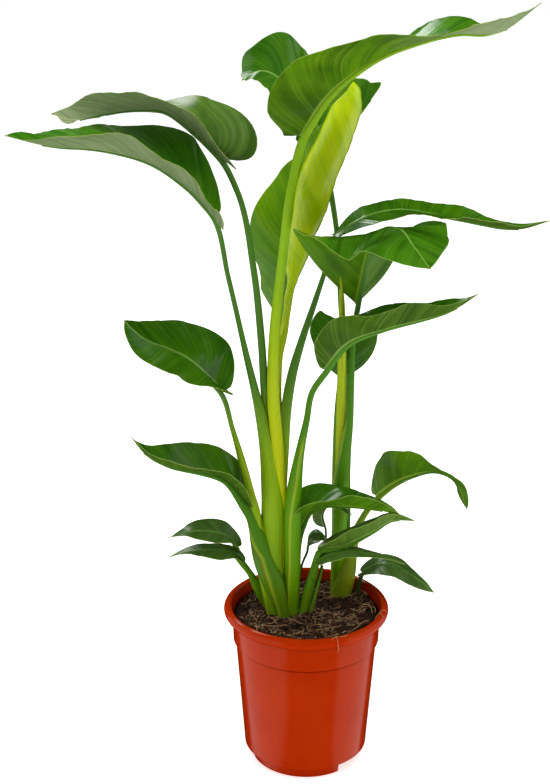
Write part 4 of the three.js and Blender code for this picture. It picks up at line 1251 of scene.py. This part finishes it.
def make_soil_body():
    """A solid body from its rough top down along the pot's inside."""
    sectors, edge, edge_width, gap = (
        SOIL[key] for key in ("sectors", "edge", "edge_width", "gap"))
    turns = np.radians(np.arange(sectors) * 360 / sectors)
    points = [(0, 0, rough_height(0, 0))]
    for radius in edge * (np.arange(1, SOIL["rings"] + 1) / SOIL["rings"]):
        drop = SOIL["edge_drop"] * soft_step((radius - edge + edge_width) / edge_width)
        for a in turns:
            x, y = radius * math.cos(a), radius * math.sin(a)
            points.append((x, y, rough_height(x, y) - float(drop)))
    for radius, z in wall_inside()[:-1][::-1]:
        for a in turns:
            points.append(((radius - gap) * math.cos(a), (radius - gap) * math.sin(a), z + gap))
    rings = (len(points) - 1) // sectors
    points.append((0, 0, POT["floor"] + gap))
    faces = []
    for j in range(sectors):
        k = (j + 1) % sectors
        faces.append((0, 1 + j, 1 + k))
        for i in range(rings - 1):
            a, b = 1 + i * sectors, 1 + (i + 1) * sectors
            faces.append((a + j, b + j, b + k, a + k))
        low = 1 + (rings - 1) * sectors
        faces.append((low + j, len(points) - 1, low + k))
    body = mesh_piece("peat", points, faces, [peat("peat_damp_rough", 1.0)])
    belongs(body, "potting_soil", "soil")


def peat(name, lightness):
    """Damp peat: near black, and fully matt, so that it swallows light, with tan bits in it.

    Clods are 6 mm wide and bits 1.3 mm.
    """
    look = bpy.context.scene.plant_soil
    material, tree = begin(name)
    place = add(tree, "TexCoord", out="Object")
    clods, bits = [
        add(tree, "TexNoise", {"Vector": place, "Scale": 1 / (size * MM), "Detail": detail,
                               "Roughness": roughness})
        for size, detail, roughness in ((6, 4, ROUGH_NOISE), (1.3, 2, NOISE_ROUGHNESS))]
    layers = [
        (mask(tree, (clods, 0.38, 0.66)), colour(look.middle, lightness)),
        (mask(tree, 0.55, (bits, 0.60, 0.72)), colour(look.light)),
    ]
    return finished(material, {
        "Base Color": layered(tree, colour(look.dark, lightness), layers),
        "Roughness": 0.95, "IOR": 1.4,
    }, bits, 0.8)


def stalk_feet():
    """Where each stalk leaves the soil: x, y and the stalk's half width there."""
    feet = []
    for _, _, leaves, _, _ in (*MAIN_CLUMP, *SECOND_CLUMP, *SMALL_SHOOTS):
        for leaf in leaves:
            points = np.array(leaf["stalk"], float)
            if points[0, 2] < SOIL["level"]:
                x, y, across, deep = (float(np.interp(SOIL["level"], points[:, 2], points[:, k]))
                                      for k in (0, 1, 3, 4))
                feet.append((x, y, max(across, deep)))
    return feet


def on_soil(rng, reach, feet):
    """A random place on the soil's top with its height, some of them beside a stalk."""
    turn = rng.uniform(0, 2 * math.pi)
    if rng.random() < BESIDE_STALKS:
        x, y, radius = rng.choice(feet)
        radius += rng.uniform(*BESIDE_REACH)
    else:
        x, y, radius = 0, 0, reach * math.sqrt(rng.random())
    x, y = x + radius * math.cos(turn), y + radius * math.sin(turn)
    return x, y, rough_height(x, y)


def make_crumbs():
    """Loose crumbs: icosahedra with corners pulled out of place, and flat faces like dry peat's."""
    look = bpy.context.scene.plant_soil
    rng = random.Random(CRUMBS["seed"])
    feet = stalk_feet()
    golden = (1 + math.sqrt(5)) / 2
    corners = unit(np.array([(-1, golden, 0), (1, golden, 0), (-1, -golden, 0), (1, -golden, 0),
                             (0, -1, golden), (0, 1, golden), (0, -1, -golden), (0, 1, -golden),
                             (golden, 0, -1), (golden, 0, 1), (-golden, 0, -1),
                             (-golden, 0, 1)], float))
    sides = [(0, 11, 5), (0, 5, 1), (0, 1, 7), (0, 7, 10), (0, 10, 11), (1, 5, 9), (5, 11, 4),
             (11, 10, 2), (10, 7, 6), (7, 1, 8), (3, 9, 4), (3, 4, 2), (3, 2, 6), (3, 6, 8),
             (3, 8, 9), (4, 9, 5), (2, 4, 11), (6, 2, 10), (8, 6, 7), (9, 8, 1)]
    points, faces = [], []
    for _ in range(look.crumbs // (1)):
        x, y, z = on_soil(rng, CRUMBS["reach"], feet)
        size = CRUMBS["least"] + CRUMBS["growth"] * rng.random() ** 3
        spread = [rng.uniform(*CRUMBS["spread"]) for _ in range(3)]
        start = len(points)
        for c in corners:
            swell = size * rng.uniform(*CRUMBS["swell"])
            points.append((x + c[0] * swell * spread[0], y + c[1] * swell * spread[1],
                           z + CRUMBS["rise"] * size
                           + c[2] * swell * spread[2] * CRUMBS["flatness"]))
        faces += [(start + a, start + b, start + c) for a, b, c in sides]
    material = peat("peat_crumbs_dry", 1.5)
    belongs(mesh_piece("soil_crumbs", points, faces, [material], smooth=False), "potting_soil")


def add_strand(skin, path, thickness, tint, sides):
    """A thin round strand along a smooth path, tapering at both ends."""
    length = sum(math.dist(a, b) for a, b in zip(path, path[1:]))
    rows = max(6, int(length / STRAND_STEP))
    places = np.linspace(0, 1, rows)
    points, along, _ = smooth_path(path, places)
    radius = thickness / 2 * np.minimum(
        1, STRAND_END + STRAND_GROWTH * np.minimum(places, 1 - places))
    across = unit(np.cross(along, (0.3, 0.2, 1.0)))
    upward = np.cross(across, along)
    turn = np.arange(sides) * 2 * np.pi / sides
    rings = (points[:, None] + across[:, None] * (radius[:, None] * np.cos(turn))[..., None]
             + upward[:, None] * (radius[:, None] * np.sin(turn))[..., None])
    flat = np.zeros((rows, sides + 1, 2))
    place = flat.copy()
    place[..., 0] = tint
    place[..., 1] = places[:, None]
    skin.add(rings, [0] * sides, {"place": place, "size": flat, "edge": flat})


def make_fibres():
    """Loose fibres that wander over the soil's top without crossing the pot's wall."""
    look = bpy.context.scene.plant_soil
    rng = random.Random(FIBRES["seed"])
    feet = stalk_feet()
    steps, bend, farthest = (FIBRES[key] for key in ("steps", "bend", "farthest"))
    skin = Skin()
    for _ in range(look.fibres // (1)):
        x, y, z = on_soil(rng, FIBRES["reach"], feet)
        heading = rng.uniform(0, 2 * math.pi)
        length = FIBRES["least"] + FIBRES["growth"] * rng.random() ** 2
        path = []
        for _ in range(steps):
            path.append((x, y, z + rng.uniform(*FIBRES["rise"])))
            heading += rng.uniform(-bend, bend)
            x += length / steps * math.cos(heading)
            y += length / steps * math.sin(heading)
            reach = math.hypot(x, y)
            if reach > farthest:
                x, y = x * farthest / reach, y * farthest / reach
            z = rough_height(x, y)
        add_strand(skin, path, rng.uniform(*FIBRES["thickness"]), rng.random() ** 1.5,
                   FIBRES["sides"])
    belongs(skin.piece("soil_fibres", [coir()]), "potting_soil")


def coir():
    """Coconut fibre: dry, matt strands from dark red-brown to straw, uneven over 4 mm."""
    look = bpy.context.scene.plant_soil
    material, tree = begin("coir_fibre_dry")
    tint = surface_pair(tree, "place")[0]
    uneven = add(tree, "TexNoise", {
        "Vector": add(tree, "TexCoord", out="Object"), "Scale": 1 / (4 * MM), "Detail": 2,
        "Roughness": NOISE_ROUGHNESS})
    layers = [
        (mask(tree, (tint, 0.2, 1.0)), colour(look.fibre)),
        (mask(tree, 0.3, uneven), colour(look.dark)),
    ]
    return finished(material, {
        "Base Color": layered(tree, colour(look.fibre_dark), layers),
        "Roughness": 0.8, "IOR": 1.45,
    })


# Light roots and shreds on the surface: points x, y and height above the soil, in millimetres
SURFACE_ROOTS = [
    [(-52, -32, 1), (-44, -40, 4), (-34, -42, 5), (-26, -36, 3), (-22, -30, 0)],
    [(8, -44, 0), (16, -52, 4), (28, -50, 6), (36, -44, 4), (40, -34, 0)],
    [(2, -30, 1), (10, -34, 3), (18, -32, 2), (24, -26, 0)],
    [(44, -62, 1), (54, -60, 5), (62, -54, 8), (68, -44, 6), (70, -36, 1)],
    [(60, 10, 0), (68, 4, 5), (74, -6, 7), (76, -16, 3)],
    [(-64, 6, 0), (-66, -6, 4), (-60, -16, 3), (-54, -22, 0)],
    [(20, -66, 0), (26, -70, 3), (34, -68, 4), (38, -60, 1)],
    [(44, -10, 0), (52, -14, 4), (58, -22, 3), (58, -32, 0)],
]
ROOT_THICKNESSES = (0.9, 0.8, 0.7, 0.6)

# Loose fibres that hang over the pot's rim: points x, y and height above the ground
RIM_FIBRES = [
    [(26, -74, 179), (29, -80, 190), (32, -84, 195.5), (33.5, -88, 193.2), (34, -90, 188),
     (34.5, -90, 182), (33.5, -89.5, 178)],
    [(40, -66, 179), (37, -75, 189), (34, -82, 195.4), (29, -86, 195.6), (25, -89.5, 192)],
    [(31, -72, 179), (34, -79, 190), (37, -83, 195.3), (42, -82, 195.8), (46, -78, 195.2)],
    [(76, -18, 180), (81, -23, 190), (84.5, -28, 195.5), (87, -33, 194), (90, -34, 189)],
    [(77, -30, 180), (80, -27, 191), (86, -22, 195.6), (91, -19, 194), (94, -20, 189)],
]
RIM_FIBRE_THICKNESS = 0.6


def make_roots():
    """Light roots and fibres at listed points."""
    skin = Skin()
    for number, root in enumerate(SURFACE_ROOTS):
        path = [(x, y, soil_height(x, y) + up) for x, y, up in root]
        add_strand(skin, path, ROOT_THICKNESSES[number % len(ROOT_THICKNESSES)], 1.0, 8)
    for path in RIM_FIBRES:
        add_strand(skin, path, RIM_FIBRE_THICKNESS, 1.0, 6)
    belongs(skin.piece("surface_roots", [root_bark()]), "potting_soil")


def root_bark():
    """Dry woody root: light brown bark, dull and flecked over 3 mm."""
    material, tree = begin("root_dry_woody")
    bark = add(tree, "TexNoise", {
        "Vector": add(tree, "TexCoord", out="Object"), "Scale": 1 / (3 * MM), "Detail": 3,
        "Roughness": NOISE_ROUGHNESS})
    return finished(material, {
        "Base Color": layered(tree, colour("#8a6038"), [(bark, colour("#c49a6a"))]),
        "Roughness": 0.7, "IOR": 1.45,
    }, bark, 0.3)


# Stage, in metres

CAMERA_X = -0.036
FLOOR_REACH = 30.0
PANEL_Z = -0.1
RIGHT_PANEL_SHARE = 0.68


def area_light(name, place, target, size, power, mirrored=True):
    """A softbox. One that isn't mirrored lights surfaces evenly and leaves no gloss on them."""
    lamp = bpy.data.lights.new(name, "AREA")
    lamp.shape, lamp.size, lamp.size_y = "RECTANGLE", size[0], size[1]
    lamp.energy = power
    light = placed(bpy.data.objects.new(name, lamp))
    light.location = place
    light.visible_glossy = mirrored
    direction = Vector(target) - Vector(place)
    light.rotation_euler = direction.to_track_quat("-Z", "Y").to_euler()


def make_camera():
    """Seen from in front and above, at the photograph's angle and distance."""
    stage = bpy.context.scene.plant_stage
    lens = bpy.data.cameras.new("camera")
    lens.sensor_width = 36.0
    lens.lens = stage.lens
    camera = placed(bpy.data.objects.new("camera", lens))
    camera.location = (CAMERA_X, -stage.distance, stage.height)
    camera.rotation_euler = (math.radians(90) - stage.pitch, 0, 0)
    bpy.context.scene.camera = camera


def floor_paint(look):
    """Matt painted floor: an almost even white that takes soft shadows and shows no gloss.

    Its faint clouds are 333 mm wide, and a glow of its own keeps it white far away.
    """
    material, tree = begin("floor_painted_matt")
    clouds = add(tree, "TexNoise", {
        "Vector": add(tree, "TexCoord", out="Object"), "Scale": 1 / (333.3 * MM), "Detail": 2,
        "Roughness": NOISE_ROUGHNESS})
    return finished(material, {
        "Base Color": layered(tree, colour(look.floor_colour), [(clouds, colour("#f4f4f2"))]),
        "Roughness": 0.9, "Emission Color": (1, 1, 1, 1), "Emission Strength": look.floor_glow,
    })


def make_stage_set():
    stage = bpy.context.scene.plant_stage
    reach = FLOOR_REACH / MM
    floor = mesh_piece("floor", [(-reach, -reach, 0), (reach, -reach, 0), (reach, reach, 0),
                                 (-reach, reach, 0)], [(0, 1, 2, 3)], [floor_paint(stage)],
                       smooth=False)
    floor.visible_glossy = False
    world = bpy.data.worlds.new("soft_room")
    world.use_nodes = True
    background = world.node_tree.nodes["Background"]
    background.inputs[0].default_value = (1, 1, 1, 1)
    background.inputs[1].default_value = stage.room_light
    world.cycles_visibility.glossy = False
    bpy.context.scene.world = world
    area_light("overhead_softbox", (0.2, -0.3, 2.6), (0, 0, 0.45), (2.0, 2.0), stage.overhead,
               False)
    area_light("left_panel", (-2.21, -0.35, PANEL_Z), (0, 0, PANEL_Z), (5.1, 5.0), stage.side)
    area_light("right_panel", (2.2, 0.08, PANEL_Z), (0, 0, PANEL_Z), (3.5, 5.0),
               stage.side * RIGHT_PANEL_SHARE)
    area_light("back_softbox", (-0.9, 1.6, 2.2), (0, 0, 0.6), (1.4, 0.8), stage.back)
    view = bpy.context.scene.view_settings
    view.view_transform, view.look, view.exposure = "Standard", "None", 0.0


# User settings


def hex_setting(name, description, default):
    return bpy.props.StringProperty(name=name, description=description, default=default)


def number_setting(name, description, default, least, most):
    return bpy.props.FloatProperty(
        name=name, description=description, default=default, min=least, max=most)


def power_setting(name, description, default):
    return bpy.props.FloatProperty(
        name=name, description=description, default=default, subtype="POWER", unit="POWER")


class PlantLeafSettings(bpy.types.PropertyGroup):
    thickness: number_setting(
        "Blade thickness", "Thickness at the midrib, in millimetres", 1.0, 0.4, 1.2)
    wave: number_setting(
        "Margin wave", "Height of the margin's waves, in millimetres", 1.3, 0, 3)
    wave_length: number_setting(
        "Wave length", "Distance between the margin's waves, in millimetres", 62, 10, 200)
    pleat: number_setting(
        "Pleats", "Height of the pleats along side veins, in millimetres", 0.3, 0, 1)
    groove: number_setting(
        "Midrib groove", "Depth of the groove over the midrib, in millimetres", 0.7, 0, 2)
    sheath_lip: number_setting(
        "Sheath lip", "How far a sheath's free edge stands proud, in millimetres", 0.9, 0, 2)
    upper_dark: hex_setting("Upper dark", "Darker green of the upper face", "#265604")
    upper_light: hex_setting("Upper light", "Lighter green of the upper face", "#3c6c06")
    upper_vein: hex_setting("Upper veins", "Side veins on the upper face", "#55842a")
    under_dark: hex_setting("Underside dark", "Darker green of the underside", "#33540a")
    under_light: hex_setting("Underside light", "Lighter green of the underside", "#476a12")
    under_vein: hex_setting("Underside veins", "Side veins on the underside", "#769438")
    rib: hex_setting("Midrib", "Midrib of a mature blade", "#7fa648")
    margin: hex_setting("Margin", "Thin pale margin of a blade", "#789248")
    sheath_edge: hex_setting("Sheath edge", "Dry free edge of a sheath", "#8a5a1c")


class PlantPotSettings(bpy.types.PropertyGroup):
    dark: hex_setting("Plastic dark", "Darker tone of the pot", "#a02400")
    light: hex_setting("Plastic light", "Lighter tone of the pot", "#a62800")
    roughness: bpy.props.FloatProperty(
        name="Roughness", description="Roughness of the moulded skin", subtype="FACTOR",
        default=0.12, min=0, max=1)


class PlantSoilSettings(bpy.types.PropertyGroup):
    dark: hex_setting("Peat dark", "Deepest tone of the peat", "#0c0604")
    middle: hex_setting("Peat", "Main tone of the peat", "#34200f")
    light: hex_setting("Peat bits", "Lighter bits in the peat", "#7a5232")
    fibre: hex_setting("Fibre light", "Lightest fibres", "#dcb486")
    fibre_dark: hex_setting("Fibre dark", "Darkest fibres", "#4a2614")
    crumbs: bpy.props.IntProperty(
        name="Crumbs", description="Number of loose crumbs", default=3400, min=0, max=6000)
    fibres: bpy.props.IntProperty(
        name="Fibres", description="Number of loose fibres", default=1250, min=0, max=1500)


class PlantStageSettings(bpy.types.PropertyGroup):
    floor_colour: hex_setting("Floor", "Colour of the floor", "#eeeeec")
    floor_glow: bpy.props.FloatProperty(
        name="Floor glow", description="Light that keeps the floor white far behind the plant",
        default=0.62, min=0)
    distance: bpy.props.FloatProperty(
        name="Distance", description="From the plant to the camera", default=1.8,
        subtype="DISTANCE", unit="LENGTH")
    height: bpy.props.FloatProperty(
        name="Height", description="Height of the camera", default=1.135,
        subtype="DISTANCE", unit="LENGTH")
    pitch: bpy.props.FloatProperty(
        name="Pitch", description="How far the camera looks down", default=math.radians(20.7),
        subtype="ANGLE", unit="ROTATION")
    lens: bpy.props.FloatProperty(
        name="Lens", description="Focal length in millimetres", default=80.08, min=10)
    room_light: bpy.props.FloatProperty(
        name="Room light", description="Strength of the even room light", default=0.45, min=0)
    overhead: power_setting("Overhead", "Power of the softbox overhead", 46)
    side: power_setting("Sides", "Power of the left panel, and of the right one in part", 60)
    back: power_setting("Back", "Power of the softbox behind", 24)


# Operators


class PLANT_OT_stage(bpy.types.Operator):
    """Make the floor, the soft lights and the camera"""
    bl_idname = "plant.make_stage"
    bl_label = "Stage"

    def execute(self, context):
        make_camera()
        make_stage_set()
        return {"FINISHED"}


class PLANT_OT_pot(bpy.types.Operator):
    """Make the moulded nursery pot"""
    bl_idname = "plant.make_pot"
    bl_label = "Pot"

    def execute(self, context):
        make_pot_shell()
        return {"FINISHED"}


class PLANT_OT_soil(bpy.types.Operator):
    """Make the peat with its crumbs, fibres and surface roots"""
    bl_idname = "plant.make_soil"
    bl_label = "Soil"

    def execute(self, context):
        make_soil_body()
        make_crumbs()
        make_fibres()
        make_roots()
        return {"FINISHED"}


class PLANT_OT_main_clump(bpy.types.Operator):
    """Make the leaves of the main clump"""
    bl_idname = "plant.make_main_clump"
    bl_label = "Main clump"

    def execute(self, context):
        make_leaves(MAIN_CLUMP)
        return {"FINISHED"}


class PLANT_OT_second_clump(bpy.types.Operator):
    """Make the leaves of the second clump behind"""
    bl_idname = "plant.make_second_clump"
    bl_label = "Second clump"

    def execute(self, context):
        make_leaves(SECOND_CLUMP)
        return {"FINISHED"}


class PLANT_OT_small_shoots(bpy.types.Operator):
    """Make the small shoots at the foot of the clumps"""
    bl_idname = "plant.make_small_shoots"
    bl_label = "Small shoots"

    def execute(self, context):
        make_leaves(SMALL_SHOOTS)
        return {"FINISHED"}


OPERATORS = (PLANT_OT_stage, PLANT_OT_pot, PLANT_OT_soil, PLANT_OT_main_clump,
             PLANT_OT_second_clump, PLANT_OT_small_shoots)
SETTINGS = {
    "plant_leaves": PlantLeafSettings,
    "plant_pot": PlantPotSettings,
    "plant_soil": PlantSoilSettings,
    "plant_stage": PlantStageSettings,
}


class PLANT_PT_panel(bpy.types.Panel):
    """Settings and makers of the potted plant"""
    bl_idname = "PLANT_PT_panel"
    bl_label = "Potted plant"
    bl_space_type = "VIEW_3D"
    bl_region_type = "UI"
    bl_category = "Plant"

    def draw(self, context):
        for name, group in SETTINGS.items():
            box = self.layout.box()
            box.label(text=name.replace("_", " "))
            for key in group.__annotations__:
                box.prop(getattr(context.scene, name), key)
        for operator in OPERATORS:
            self.layout.operator(operator.bl_idname)


def register():
    for group in (*SETTINGS.values(), *OPERATORS, PLANT_PT_panel):
        bpy.utils.register_class(group)
    for name, group in SETTINGS.items():
        setattr(bpy.types.Scene, name, bpy.props.PointerProperty(type=group))


def unregister():
    for name in SETTINGS:
        delattr(bpy.types.Scene, name)
    for group in (PLANT_PT_panel, *OPERATORS, *SETTINGS.values()):
        bpy.utils.unregister_class(group)


def main():
    register()
    bpy.ops.plant.make_stage()
    bpy.ops.plant.make_pot()
    bpy.ops.plant.make_soil()
    bpy.ops.plant.make_main_clump()
    bpy.ops.plant.make_second_clump()
    bpy.ops.plant.make_small_shoots()


if __name__ == "__main__":
    main()
